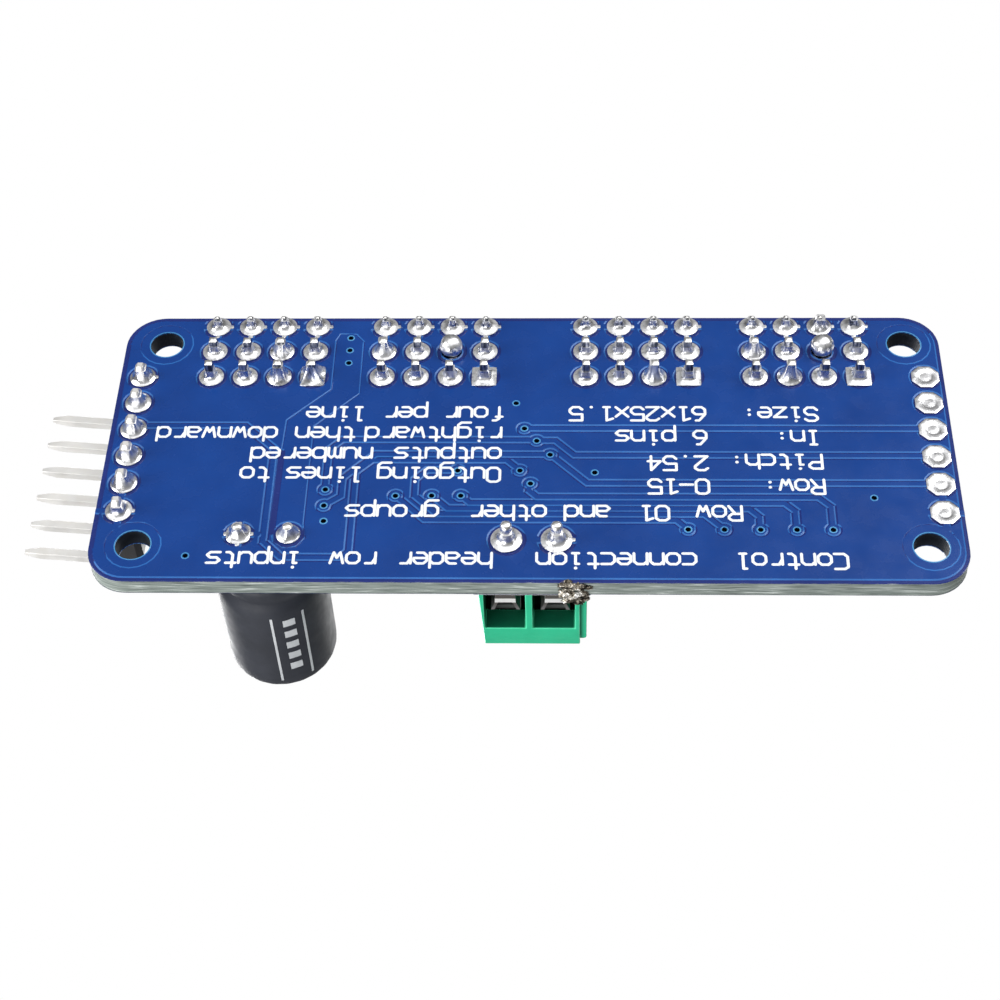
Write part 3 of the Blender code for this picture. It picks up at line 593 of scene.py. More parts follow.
# Traces of the solder face, each from end to end.
UNDER_TRACES = [
    [(-0.51, -1.2), (SPARE_X, -1.2)],
    [(0.4, -0.03), (1.75, -0.03), (3.1, 1.32), (SPARE_X, 1.32)],
    [(1.38, 1.27), (4.02, 3.9), (SPARE_X, 3.9)],
    [(0.0, 3.94), (-0.1, 4.6), (0.45, 5.16), (20.3, 5.16), (21.13, 5.98), ADDRESS_VIAS[4]],
    [(-4.93, 5.06), (-4.3, 5.69), (17.9, 5.69), (18.61, 6.4), ADDRESS_VIAS[3]],
    [(-7.0, 5.06), (-5.85, 6.2), (15.4, 6.2), (16.09, 6.9), ADDRESS_VIAS[2]],
    [(-5.23, 2.75), (-7.4, 2.75), (-8.2, 3.55), (-8.2, 5.1), (-6.6, 6.7), (12.25, 6.7), ADDRESS_VIAS[1]],
    [(-9.57, 5.08), (-7.43, 7.22), (10.25, 7.22), ADDRESS_VIAS[0]],
    [(0.4, -0.03), (-0.2, -0.1), (-13.7, -0.1), (-14.61, 0.85), (-14.61, 4.52)],
    [(1.38, 1.27), (-11.2, 1.25), (-13.42, 3.47), (-13.42, 5.1), (-14.61, 5.98)],
    [
        (-0.77, 2.75), (-1.75, 1.8), (-11.4, 1.8), (-12.55, 2.95), (-12.55, 10.0), (-13.1, 10.55),
        (-17.3, 10.55), (-18.62, 9.2), (-18.62, 0.8), (-20.95, -1.45), (-28.2, -1.45), (-29.16, -1.14),
    ],
]

# Clear channels that part the supply copper from the pour round it: half width and line.
UNDER_CHANNELS = [
    (0.09, [(-14.6, -10.6), (-14.9, -9.9), (-14.9, -5.0), (-17.95, -2.0), (-18.05, 1.0)]),
    (0.09, [(-14.6, -10.6), (-13.4, -10.55), (-12.8, -9.8), (-12.76, -4.6), (-15.9, -1.4), (-15.9, 7.6)]),
    (0.3, [(-18.1, 1.0), (-18.1, 8.3)]),
    (0.09, [(-15.9, 7.6), (-15.72, 8.9), (-16.3, 9.62), (-17.2, 9.75), (-17.9, 9.2), (-18.1, 8.3)]),
    (0.06, [(-29.6, 7.55), (-27.2, 7.55)]),
]


def distance(x, y, line):
    """Distance from a point to a line of one or more points."""
    best = hypot(x - line[0][0], y - line[0][1])
    for (ax, ay), (bx, by) in zip(line, line[1:]):
        dx, dy = bx - ax, by - ay
        share = min(1.0, max(0.0, ((x - ax) * dx + (y - ay) * dy) / (dx * dx + dy * dy)))
        best = min(best, hypot(x - ax - share * dx, y - ay - share * dy))
    return best


def inside_edge(x, y):
    """How far a point lies inside the board's edge."""
    half = (BOARD_HIGH - BOARD_LOW) / 2
    centre = (BOARD_HIGH + BOARD_LOW) / 2
    dx, dy = abs(x - centre.x) - half.x + BOARD_CORNER, abs(y - centre.y) - half.y + BOARD_CORNER
    return BOARD_CORNER - hypot(max(dx, 0.0), max(dy, 0.0)) - min(max(dx, dy), 0.0)


class Strip:
    """A line with a width, on the copper."""

    def __init__(self, line, half):
        self.line, self.half = line, half
        margin = half + SLOPE * 2
        self.low = [min(point[k] for point in line) - margin for k in (0, 1)]
        self.high = [max(point[k] for point in line) + margin for k in (0, 1)]

    def outside(self, x, y):
        """Distance out of the strip, with SLOPE for every point well clear of it."""
        if not (self.low[0] < x < self.high[0] and self.low[1] < y < self.high[1]):
            return SLOPE
        return distance(x, y, self.line) - self.half


class Copper:
    """Traces, pads and the pour of one face, as the relief that they give the mask over them."""

    def __init__(self):
        self.metal, self.clear, self.holes = [], [], []

    def trace(self, line, half=TRACE, gap=GAP):
        self.metal.append(Strip(line, half))
        if gap:
            self.clear.append(Strip(line, half + gap))

    def channel(self, line, half):
        self.clear.append(Strip(line, half))

    def hole(self, x, y, radius):
        self.holes.append((x, y, radius))

    def depth(self, x, y):
        """How deep the mask dips here, from 0 on copper to COPPER on bare laminate."""
        to_pour = max(EDGE_CLEAR - inside_edge(x, y), -min(strip.outside(x, y) for strip in self.clear))
        if to_pour <= 0.0:
            return 0.0
        to_metal = min(strip.outside(x, y) for strip in self.metal)
        return COPPER * min(1.0, max(0.0, min(to_metal, to_pour) / SLOPE))

    def coating(self, x, y):
        """Slot of the mask's look: 0 over copper, 1 over bare laminate, 2 on a trace's slope facing +Y,
        painted lighter as a highlight.
        """
        here = self.depth(x, y)
        lines = [strip.outside(x, y) for strip in self.metal if strip.half == TRACE]
        drop = self.depth(x + 0.01, y + 0.02) - self.depth(x - 0.01, y - 0.02)
        # Slopes that face +Y get the lighter colour: a painted highlight.
        if 0.0 < here < COPPER and drop > 0.0 and min(lines, default=1.0) < SLOPE + GAP:
            return 2
        return 1 if here > COPPER * 0.3 else 0

    def sheet(self):
        edge = [board_outline(inset) for inset in (0.0, 0.06, EDGE_CLEAR - SLOPE, EDGE_CLEAR)]
        holes = [circle(*hole, 24 if hole[2] > 0.5 else 12) for hole in self.holes]
        outlines = edge + holes
        for strip in self.metal:
            outlines += [stroke(strip.line, strip.half), stroke(strip.line, strip.half + SLOPE)]
        for strip in self.clear:
            outlines += [stroke(strip.line, strip.half), stroke(strip.line, max(strip.half - SLOPE, 0.01))]
        points, triangles, covers = merged(outlines)
        cut = set(range(len(edge), len(edge) + len(holes)))
        return points, [corners for corners, over in zip(triangles, covers) if not over & cut and 0 in over]


def add_spokes(copper, x, y, reach):
    """Short bridges that tie a pad to the pour across its clear ring."""
    for dx, dy in FOUR_WAYS:
        copper.trace([(x, y), (x + reach * dx, y + reach * dy)], 0.2, 0.0)


def mask_piece(name, copper, up):
    """Lacquer over one face, dipping where its copper ends and rolled over at the board's edge."""
    points, triangles = copper.sheet()
    face, side = FACES[up]
    indices = []
    for corners in triangles:
        centre = sum((points[i] for i in corners), Vector((0, 0))) / 3
        indices.append(copper.coating(centre.x, centre.y))

    def height(x, y):
        rolled = 0.03 * max(0.0, 1 - inside_edge(x, y) / 0.06)
        return face - side * (copper.depth(x, y) + rolled)

    def build(mesh):
        add_sheet(mesh, points, triangles, height, face - side * 0.1, up, indices)

    return piece(name, build, ["mask_copper", "mask_bare", "mask_painted_highlight"], outward=False, crease=8.0)


def make_under_mask():
    copper = Copper()
    for line in UNDER_TRACES:
        copper.trace(line)
    for half, line in UNDER_CHANNELS:
        copper.channel(line, half)
    for place in VIAS:
        copper.trace([place], VIA_COPPER, GAP if place in TRACE_VIAS else 0.0)
        copper.hole(*place, VIA_HOLE)
    for place in MOUNTS:
        copper.trace([place], MOUNT_RADIUS + 0.68, 0.12)
        copper.hole(*place, MOUNT_RADIUS)
    # The pads end under their joints, so that only the clear ring round each one shows.
    for group in GROUPS:
        for row in ROWS:
            for x, y in row_pins(group, row):
                copper.trace([(x, y)], JOINT_RADIUS - 0.14, 0.4)
                if row == "ground":
                    add_spokes(copper, x, y, 1.4)
    for i, (x, y) in enumerate(CONTROL + SPARE):
        copper.trace([(x, y)], JOINT_RADIUS - 0.12, 0.42)
        if i % 6 == 5:
            add_spokes(copper, x, y, 1.5)
    for i, (x, y) in enumerate(SUPPLY_TAILS + CAN_LEADS):
        copper.trace([(x, y)], 1.0 if i < 2 else 0.75, 0.42)
        if i in (1, 2):
            add_spokes(copper, x, y, 1.6 if i == 1 else 1.35)
    return mask_piece("solder_mask_under", copper, False)


# ---------------------------------------------------------------- board


def make_laminate():
    """Core of the board: its slightly ragged sawn edge, and the bores of its mounting holes and vias,
    coloured near black as painted shade.
    """
    bores = [circle(*place, MOUNT_RADIUS + 0.005, 32) for place in MOUNTS]
    bores += [circle(*place, VIA_HOLE, 12) for place in VIAS]
    points, triangles, covers = merged([board_outline(0.02, 0.35), *bores])
    kept = [corners for corners, over in zip(triangles, covers) if over == {0}]
    skin = COPPER + 0.02
    levels = [skin, 0.2, 0.42, 0.7, 1.0, 1.25, BOARD_TOP - skin]
    edges = {}
    for corners in kept:
        for a, b in neighbours(list(corners)):
            note_edge(edges, a, b, None)

    def build(mesh):
        rows = []
        for level in levels:
            row = {}
            for a, b in edges:
                for i in (a, b):
                    p = points[i]
                    rim = inside_edge(p.x, p.y) < EDGE_BAND
                    shift = 0.03 * noise.noise(Vector((p.x * 1.7, p.y * 1.7, level * 5))) if rim else 0.0
                    away = Vector((p.x, p.y * 4, 0)).normalized() * shift
                    row.setdefault(i, mesh.verts.new((p.x + away.x, p.y + away.y, level)))
            rows.append(row)
        for low, high in zip(rows, rows[1:]):
            for a, b in edges:
                face = mesh.faces.new((low[a], low[b], high[b], high[a]))
                face.material_index = 0 if inside_edge(*points[a]) < EDGE_BAND else 1
        for row, turned in ((rows[0], True), (rows[-1], False)):
            inner = {}
            for corners in kept:
                for i in corners:
                    if i not in row and i not in inner:
                        inner[i] = mesh.verts.new((*points[i], levels[0 if turned else -1]))
                order = [row.get(i) or inner[i] for i in corners]
                mesh.faces.new(order[::-1] if turned else order)
        drop_loose(mesh)

    return piece("laminate_core", build, ["laminate", "bore"], ["pcb"], crease=60.0)


# Rims of the holes, as radii and distances out of the face.
MOUNT_RIM = [(MOUNT_RADIUS - 0.01, -0.05), (MOUNT_RADIUS, 0.012)]
MOUNT_RIM += [(MOUNT_RADIUS + 0.06, 0.014), (MOUNT_RADIUS + 0.09, -0.01)]
VIA_RIM = [(VIA_HOLE - 0.01, -0.03), (VIA_HOLE - 0.01, 0.012), (VIA_HOLE + 0.03, 0.022)]
VIA_RIM += [(VIA_RING - 0.03, 0.02), (VIA_RING, -0.01)]


def add_rims(mesh, x, y, rim, count):
    for face, side in FACES:
        add_loft(mesh, [ring(radius, face + side * out, count, x, y) for radius, out in rim], caps=False)


def make_via_rings():
    """Mask rim of each mounting hole and via on both faces, and inside each via a near-black tube with a plug
    at mid depth: painted shade where light would show through.
    """

    def build(mesh):
        for x, y in MOUNTS:
            add_rims(mesh, x, y, MOUNT_RIM, 48)
        for x, y in VIAS:
            add_rims(mesh, x, y, VIA_RIM, 16)
            wall = [ring(VIA_HOLE, z, 16, x, y) for z in (0.02, 0.6, BOARD_TOP - 0.02)]
            add_loft(mesh, wall, 1, caps=False)
            mesh.faces.new([mesh.verts.new(point) for point in wall[1]]).material_index = 1

    return piece("via_rings", build, ["mask_rim", "hollow"], crease=60.0)


# ---------------------------------------------------------------- printed text

# Heights of the nine levels that a glyph's points use, from descender to capital top.
LEVELS = (-0.46, -0.23, 0.0, 0.23, 0.46, 0.69, 0.92, 1.1, 1.28)
COLUMN = 0.225
ADVANCE = 1.12
# Strokes of a plain drafting hand. Each point is a column from 0 to 4 and a level from 0 to 8.
GLYPHS = {
    "0": "18 38 47 43 32 12 03 07 18", "1": "07 28 22/12 32", "2": "07 18 38 47 46 02 42",
    "3": "07 18 38 47 46 35 44 43 32 12 03/15 35", "4": "32 38 04 44",
    "5": "48 08 05 35 44 43 32 12 03", "6": "38 28 05 03 12 32 43 44 35 05", "7": "08 48 22",
    "8": "15 06 07 18 38 47 46 35 15 04 03 12 32 43 44 35", "9": "12 22 45 47 38 18 07 06 15 45",
    "C": "48 18 07 03 12 42", "I": "18 38/28 22/12 32", "O": "18 38 47 43 32 12 03 07 18",
    "P": "02 08 38 47 46 35 05", "R": "02 08 38 47 46 35 05/25 42",
    "S": "47 38 18 07 06 15 35 44 43 32 12 03", "a": "16 36 45 42/44 14 03 12 42",
    "b": "08 02/05 16 36 45 43 32 12 03", "c": "46 16 05 03 12 42",
    "d": "48 42/45 36 16 05 03 12 32 43", "e": "04 44 45 36 16 05 03 12 32", "f": "38 28 17 12/06 26",
    "g": "46 16 05 03 12 42/46 41 30 00", "h": "08 02/05 16 36 45 42", "i": "16 26 22/12 32/28 28",
    "l": "18 28 22/12 32", "m": "02 06/05 16 25 22/25 36 45 42", "n": "02 06/05 16 36 45 42",
    "o": "16 36 45 43 32 12 03 05 16", "p": "00 06/05 16 36 45 43 32 12 03", "r": "02 06/04 16 36",
    "s": "46 16 05 14 34 43 32 02", "t": "18 13 22 32/06 36", "u": "06 03 12 32 43/46 42",
    "w": "06 12 24 32 46", "x": "02 46/06 42", "y": "06 03 12 42/46 41 30 00", "z": "06 46 02 42",
    "-": "04 44", "+": "04 44/26 22", ".": "22 22", ":": "23 23/25 25",
}
# Generic words and numerals of the solder face: where each starts, its base line, the word.
UNDER_TEXT = [
    (21.9, 10.13, "Control"), (11.5, 10.13, "connection"), (-2.6, 10.13, "header"), (-10.65, 10.13, "row"),
    (-15.9, 10.13, "inputs"),
    (14.85, 5.96, "Row"), (9.75, 5.96, "01"), (5.6, 5.96, "and"), (1.1, 5.96, "other"),
    (-6.5, 5.96, "groups"),
    (-2.2, 2.51, "Outgoing"), (-12.1, 2.51, "lines"), (-18.8, 2.51, "to"),
    (-2.2, 0.66, "outputs"), (-11.5, 0.66, "numbered"),
    (-2.2, -1.29, "rightward"), (-12.9, -1.29, "then"), (-18.6, -1.29, "downward"),
    (-2.15, -3.24, "four"), (-7.7, -3.24, "per"), (-12.25, -3.24, "line"),
    (20.8, 3.56, "Row:"), (20.8, 1.26, "Pitch:"), (20.8, -0.98, "In:"), (20.8, -3.22, "Size:"),
    (12.65, 3.56, "0-15"), (12.65, 1.42, "2.54"), (12.65, -0.98, "6"), (10.4, -0.98, "pins"),
    (12.65, -3.25, "61x25x1.5"),
]


def text_outlines(word, place, scale=1.0, half=INK_HALF):
    """Outlines of a word's strokes; place(u, v) turns a point of the line of text into one of the face."""
    outlines = []
    for i, letter in enumerate(word):
        for line in GLYPHS[letter].split("/"):
            corners = []
            for column, level in line.split():
                u = int(column) * COLUMN * scale + ADVANCE * scale * i
                corners.append(place(u, LEVELS[int(level)] * scale))
            if corners[0] == corners[-1] and len(corners) == 2:
                outlines.append(circle(*corners[0], half * 1.25, 10))
            else:
                outlines += lines_through(corners, half)
    return outlines


def lines_through(points, half=0.09):
    return [stroke([a, b], half, 4) for a, b in zip(points, points[1:])]


def add_ink(mesh, outlines, up):
    face, side = FACES[up]
    points, triangles, _ = merged(outlines)
    add_sheet(mesh, points, triangles, face + side * INK, face - side * 0.01, up)


def make_under_text():
    def build(mesh):
        for x, y, word in UNDER_TEXT:
            add_ink(mesh, text_outlines(word, lambda u, v: (x - u, y + v)), False)

    return piece("legend_under", build, ["ink"], outward=False)


# ---------------------------------------------------------------- solder and pins

draws = random.Random(11)
FILLET_STEPS = 9
FILLET_COUNT = 32
TAB = ((0.17, 0.0), (0.15, -0.03), (0.08, -0.04))
# Joints that differ from a plain fillet: group, row and place in the row.
ODD_JOINTS = {
    "ball": [("b", "supply", 2), ("d", "supply", 2)],
    "cone": [
        ("b", "supply", 0), ("d", "supply", 0), ("d", "signal", 1), ("c", "signal", 2), ("d", "ground", 2),
    ],
    "torn": [("a", "signal", 2), ("a", "supply", 2)],
    "star": [("a", "signal", 3)],
    "square": [("b", "signal", 3), ("c", "signal", 3), ("d", "signal", 3)],
}
JOINT_KINDS = {place: kind for kind, places in ODD_JOINTS.items() for place in places}


def add_fillet(mesh, x, y, pad, height, neck, bend, ripple, power=2.0, neck_power=5.0, index=1, ridges=0.0):
    """Solder from its pad up a pin.

    bend above 1 makes it hollow, ripple makes it uneven, and ridges draws out its corners.
    """
    waves = [(k, draws.uniform(0, tau), draws.uniform(0.4, 1.0) / k**0.5) for k in (2, 3, 5, 7)]
    lean = (draws.uniform(-0.05, 0.05), draws.uniform(-0.05, 0.05))
    foot = ((1.0, 0.0), (0.995, -0.03))
    rings = [ring(squared(pad * share, power), z, FILLET_COUNT, x, y) for share, z in foot]
    edge = squared(pad * 0.98, power)
    for step in range(FILLET_STEPS + 1):
        t = step / FILLET_STEPS
        core = squared(neck, power + (neck_power - power) * t**0.8)

        def reach(angle):
            wave = ripple * sum(size * sin(k * angle + phase) for k, phase, size in waves)
            wave -= ridges * cos(4 * angle)
            inner = core(angle)
            return (inner + (edge(angle) - inner) * (1 - t) ** bend) * (1 + wave * sin(pi * t**0.8))

        z = -0.05 - (height - 0.05) * t**1.6
        rings.append(ring(reach, z, FILLET_COUNT, x + lean[0] * t, y + lean[1] * t))
    add_loft(mesh, rings, index)


def add_ball(mesh, x, y, pad, height):
    """Solder drop that swallows the end of its pin."""
    waves = [(k, draws.uniform(0, tau)) for k in (2, 3, 5)]
    rings = [ring(pad * 0.86, 0.0, FILLET_COUNT, x, y)]
    half = height * 0.56
    for step in range(13):
        tilt = radians(-52 + 139 * step / 12)

        def reach(angle):
            bump = 1 + 0.02 * sum(sin(k * angle + phase + 3 * tilt) for k, phase in waves)
            return pad * 0.97 * cos(tilt) * bump

        rings.append(ring(reach, -(height - half) - half * sin(tilt), FILLET_COUNT, x, y))
    add_loft(mesh, rings, 1)


def add_pin(mesh, x, y, low, high, sharp):
    """Square pin whose cut end has four sloping faces; sharp draws that end out."""
    sway = (draws.uniform(-0.03, 0.03), draws.uniform(-0.03, 0.03))
    cut = ((0.0, 0.2), (0.07, 0.42), (0.55, 0.9)) if sharp else ((0.0, 0.42), (0.11, 0.84), (0.3, 0.92))
    stations = [(low + depth, share) for depth, share in cut]
    stations += [(0.5, 0.92), (high - 0.7, 1.0), (high, 0.5)]
    rings = []
    for z, share in stations:
        shift = max(0.0, -z) / 1.5
        rings.append(eased_square(x + sway[0] * shift, y + sway[1] * shift, PIN_HALF * share, z))
    add_loft(mesh, rings[:2], caps=False)
    # The tail's sides take slot 3: tin painted dark as shade, with light streaks as painted highlights.
    add_loft(mesh, rings[1:4], 3, caps=False)
    add_loft(mesh, rings[3:], caps=False)
    for end in (rings[0][::-1], rings[-1]):
        mesh.faces.new([mesh.verts.new(point) for point in end])
    bmesh.ops.remove_doubles(mesh, verts=mesh.verts, dist=1e-5)


def eased_square(x, y, half, z):
    """Square ring of points with its corners cut off."""
    inner = half * 0.84
    points = []
    for a, b in ((1, -1), (1, 1), (-1, 1), (-1, -1)):
        corner = [(x + half * a, y + inner * b, z), (x + inner * a, y + half * b, z)]
        points += corner if a * b > 0 else corner[::-1]
    return points


def add_tabs(mesh, x, y, reach, directions):
    """Tinned ends of the spokes beside a pad."""
    for dx, dy in directions:
        rings = [ring(squared(radius, 4.0), z, 12, x + dx * reach, y + dy * reach) for radius, z in TAB]
        add_loft(mesh, rings, 1)


def make_servo_pins():
    for group in GROUPS:
        for row in ROWS:
            node = f"servo_pins_{group}_{row}"
            low, high = box(node)

            def build(mesh):
                for i, (x, y) in enumerate(row_pins(group, row)):
                    kind = JOINT_KINDS.get((group, row, i), "plain")
                    add_joint(mesh, x, y, kind, row, -low.z)
                    add_pin(mesh, x, y, -0.6 if kind == "ball" else low.z, high.z, row == "ground")

            looks = ["pin_tin", "solder", "solder_dull", "tail_painted_shade_and_highlight"]
            piece(f"tinned_row_{group}_{row}", build, looks, [node], crease=40.0)


def add_joint(mesh, x, y, kind, row, tail):
    """One solder joint of a servo header, on a pin whose tail is this long."""
    height, pad = tail * draws.uniform(0.5, 0.6), JOINT_RADIUS
    if kind == "ball":
        add_ball(mesh, x, y, 0.9, tail + 0.1)
    elif kind == "cone":
        add_fillet(mesh, x, y, pad, tail - 0.14, 0.34, 1.5, 0.03)
    elif kind == "torn":
        add_fillet(mesh, x, y, pad, tail * 0.8, 0.38, 1.5, 0.1, index=2)
    elif kind == "star":
        add_fillet(mesh, x, y, pad, tail * 0.8, 0.34, 1.5, 0.04, 14.0, index=2, ridges=0.22)
    elif kind == "square":
        add_fillet(mesh, x, y, pad * 0.99, height, 0.36, 4.5, 0.02, 20.0)
    elif row == "ground":
        add_fillet(mesh, x, y, pad, tail * draws.uniform(0.75, 0.85), 0.26, draws.uniform(2.2, 3.0), 0.04)
    else:
        add_fillet(mesh, x, y, pad, height, 0.36, draws.uniform(3.0, 4.0), 0.035)
    if row == "ground":
        add_tabs(mesh, x, y, 0.98, ((1, 0), (0, 1)))


CONTROL_BEND_Z = 5.75
CONTROL_BEND_RADIUS = 0.6
CONTROL_TIP_Z = 4.94
BEND_STEPS = 8
# Share of its tail that each control joint climbs, and how hollow it is.
CONTROL_JOINTS = ((0.72, 1.5), (0.72, 1.9), (0.72, 1.4), (0.72, 1.35), (0.72, 1.1), (0.6, 2.4))


def make_control_pins():
    up = Vector((0, 0, 1))
    for i, (x, y) in enumerate(CONTROL):
        node = f"control_pin_{i + 1}"
        low = box(node)[0]

        def build(mesh):
            climb, bend = CONTROL_JOINTS[i]
            add_fillet(mesh, x, y, 0.98, -low.z * climb, 0.42, bend, 0.05)
            if i % 5 == 0:
                add_tabs(mesh, x, y, 1.0, ((1, 0),))
            tip = Vector((low.x, y, CONTROL_TIP_Z))
            run = (tip - Vector((x, y, CONTROL_BEND_Z))).normalized()
            turned = up.angle(run)
            stations = [(Vector((x, y, low.z)), up, 0.6), (Vector((x, y, low.z + 0.2)), up, 1.0)]
            foot = CONTROL_BEND_Z - CONTROL_BEND_RADIUS
            for step in range(BEND_STEPS + 1):
                a = turned * step / BEND_STEPS
                out, rise = CONTROL_BEND_RADIUS * (1 - cos(a)), CONTROL_BEND_RADIUS * sin(a)
                stations.append((Vector((x - out, y, foot + rise)), Vector((-sin(a), 0, cos(a))), 1.0))
            stations += [(tip - run * 1.1, run, 1.0), (tip - run * 0.25, run, 0.62), (tip, run, 0.45)]
            rings = []
            for centre, ahead, share in stations:
                across = Vector((ahead.z, 0, -ahead.x))
                flat = eased_square(0.0, 0.0, PIN_HALF * share, 0.0)
                rings.append([centre + across * a + Vector((0, b, 0)) for a, b, _ in flat])
            add_loft(mesh, rings)

        piece(f"tinned_control_pin_{i + 1}", build, ["pin_gold", "solder"], [node], crease=40.0)


# Pad of the empty column and the solder in its hole, as radii and heights over the face.
SPARE_PAD = ((1.1, 0.0), (1.09, 0.04), (1.02, 0.07), (0.9, 0.075))
SPARE_BOWL = ((0.6, 0.07), (0.55, 0.05), (0.5, 0.012), (0.4, 0.006), (0.22, 0.03), (0.06, 0.034))


def make_spare_pads():
    """Eight-sided pads of the empty column, their holes filled with solder, on both faces."""

    def build(mesh):
        for x, y in SPARE:
            for face, side in FACES:
                rings = [ring(octagon(radius), face + side * out, 32, x, y) for radius, out in SPARE_PAD]
                dx, dy = draws.uniform(-0.04, 0.04), draws.uniform(-0.04, 0.04)
                rings += [ring(radius, face + side * out, 32, x + dx, y + dy) for radius, out in SPARE_BOWL]
                add_loft(mesh, rings)

    return piece("spare_pads", build, ["solder"], crease=50.0)


# ---------------------------------------------------------------- screw terminal

POLES = [middle(f"terminal_screw_{i}") for i in (1, 2)]
RIM_Z = 7.9  # top of the housing's front wall
HOUSING_LEAN = 0.31
KEY_REACH = 0.46  # the dovetail key stands this far out of the housing's side
POCKET_BACK, POCKET_BASE = 6.55, 1.95
SCREW_PITCH = 0.35
HEAD_BASE = 8.42
CONTACT_BACK = 6.7


def make_housing():
    low, high = box("terminal_housing")
    left, right = low.x, high.x - KEY_REACH
    base, top = low.z, high.z
    front, back = high.y, low.y
    profile = [(front, base), (front, RIM_Z), (front - 1.45, top)]
    profile += [(back + 1.0, top), (back, RIM_Z + 0.3), (back, base)]

    def side_x(side, z):
        share = (z - base) / (RIM_Z - base)
        return left + HOUSING_LEAN * share if side == 0 else right - 0.06 * (1 - share)

    def block(mesh):
        add_loft(mesh, [[(side_x(side, z), y, z) for y, z in profile] for side in (0, 1)])

    def cut_box(corner, opposite):
        return lambda mesh: add_box(mesh, corner, opposite)

    def cut_well(pole):
        steps = [(0.95, 7.5), (0.95, 8.35), (1.42, 8.35)]
        steps += [(1.42, top - 0.12), (1.56, top + 0.02), (1.56, top + 1)]
        return lambda mesh: add_lathe(mesh, steps, 40, pole.x, pole.y)

    cutters = []
    for (low_x, high_x), pole in zip(((left + 0.37, -0.3), (0.21, right - 0.37)), POLES):
        cutters.append(cut_box((low_x, 10.1, POCKET_BASE), (high_x, front + 1, 6.0)))
        cutters.append(cut_box((low_x, POCKET_BACK, POCKET_BASE), (high_x, 10.65, 8.0)))
        cutters.append(cut_box((pole.x - 0.7, POCKET_BACK, 1.0), (pole.x + 0.7, 9.7, 2.2)))
        cutters.append(cut_well(pole))
    looks = ["green", "green_painted_shade", "green_painted_edge_highlight"]
    item = carved_piece("terminal_block_shell", block, cutters, looks, ["terminal_housing"])
    # Faces deep in the pockets take the darker green: painted shade in the recess.
    for face in item.data.polygons:
        x, y, z = face.center / MM
        deep = POCKET_BACK - 0.05 < y < front - 0.3 and POCKET_BASE - 0.05 < z < 8.02
        face.material_index = int(deep and abs(x + 0.05) < right - left and face.normal.z < 0.5)
    # The bevel's faces take the lighter green: a painted highlight along the edges.
    bevel = bevelled(item, 0.08).modifiers["bevel"]
    bevel.material = looks.index("green_painted_edge_highlight")
    bevel.use_clamp_overlap = False

    def key(mesh):
        outline = [(right - 0.25, base + 0.02), (high.x, base + 0.02)]
        outline += arc(0.22, 0, 90, 4, high.x - 0.22, RIM_Z - 0.32)
        outline.append((right - 0.25, RIM_Z - 0.1))
        add_prism(mesh, outline, 11.2, 11.9, "y")

    bevelled(piece("terminal_side_key", key, ["green"]), 0.06)


def make_screws():
    for i, pole in enumerate(POLES):
        node = f"terminal_screw_{i + 1}"
        low, high = box(node)

        def shank(mesh):
            steps = 70
            rings = []
            for step in range(steps + 1):
                z = low.z + (8.5 - low.z) * step / steps
                ease = min(1.0, step / 8)

                def thread(angle):
                    phase = (z / SCREW_PITCH - angle / tau) % 1.0
                    return 0.79 - 0.09 * abs(2 * phase - 1) - 0.15 * (1 - ease)

                rings.append(ring(thread, z, 28, pole.x, pole.y))
            add_loft(mesh, rings)

        def head(mesh):
            profile = [(0.6, HEAD_BASE), (1.25, HEAD_BASE + 0.04), (1.3, HEAD_BASE + 0.1)]
            profile += [(1.3, high.z - 0.2), (1.22, high.z - 0.05), (1.1, high.z), (0.3, high.z)]
            add_lathe(mesh, profile, 48, pole.x, pole.y)

        def cut(half_x, half_y, depth):
            low_corner = (pole.x - half_x, pole.y - half_y, high.z - depth)
            return lambda mesh: add_box(mesh, low_corner, (pole.x + half_x, pole.y + half_y, high.z + 1))

        body = f"screw_{i + 1}"
        piece(f"screw_thread_{i + 1}", shank, ["steel"], [node], body, crease=60.0)
        cuts = [cut(0.2, 2.0, 0.5), cut(0.75, 0.18, 0.6)]
        item = carved_piece(f"screw_head_{i + 1}", head, cuts, ["steel"], [node], body)
        bevelled(item, 0.04)


def make_contacts():
    """Tongue in the clamp, its strap, and the round solder tail under the board."""
    for i, pole, (x, y) in zip((1, 2), POLES, SUPPLY_TAILS):
        node = f"terminal_contact_{i}"
        low, high = box(node)

        def build(mesh):
            foot, roof, back = (1.6, 1.9), (high.z - 0.3, high.z), CONTACT_BACK
            strap = [(back, foot[0]), (y + 0.5, foot[0]), (y + 0.5, foot[1]), (back + 0.3, foot[1])]
            strap += [(back + 0.3, roof[0]), (10.3, roof[0]), (10.3, roof[1]), (back, roof[1])]
            add_prism(mesh, strap, pole.x - 0.6, pole.x + 0.6, "x")
            end = low.z
            tail = [(0.12, end), (0.28, end + 0.05), (0.38, end + 0.16), (0.43, end + 0.34)]
            tail += [(0.42, end + 0.55), (0.4, -0.6), (0.4, 1.7)]
            add_lathe(mesh, tail, 24, x, y)
            add_fillet(mesh, x, y, 1.13, -end * 0.55, 0.45, 2.8, 0.03, 2.0, 2.0)
            if i == 2:
                add_tabs(mesh, x, y, 1.16, ((1, 0), (0, 1)))

        piece(f"tinned_contact_{i}", build, ["pin_tin", "solder"], [node], crease=40.0)


# ---------------------------------------------------------------- capacitor

CAN = middle("capacitor_can")
CAN_LOW, CAN_HIGH = box("capacitor_can")
SLEEVE_LOW, SLEEVE_HIGH = box("capacitor_sleeve")
SLEEVE_RADIUS = (SLEEVE_HIGH.x - SLEEVE_LOW.x) / 2
SLEEVE_BASE, SLEEVE_TOP = SLEEVE_LOW.z, SLEEVE_HIGH.z
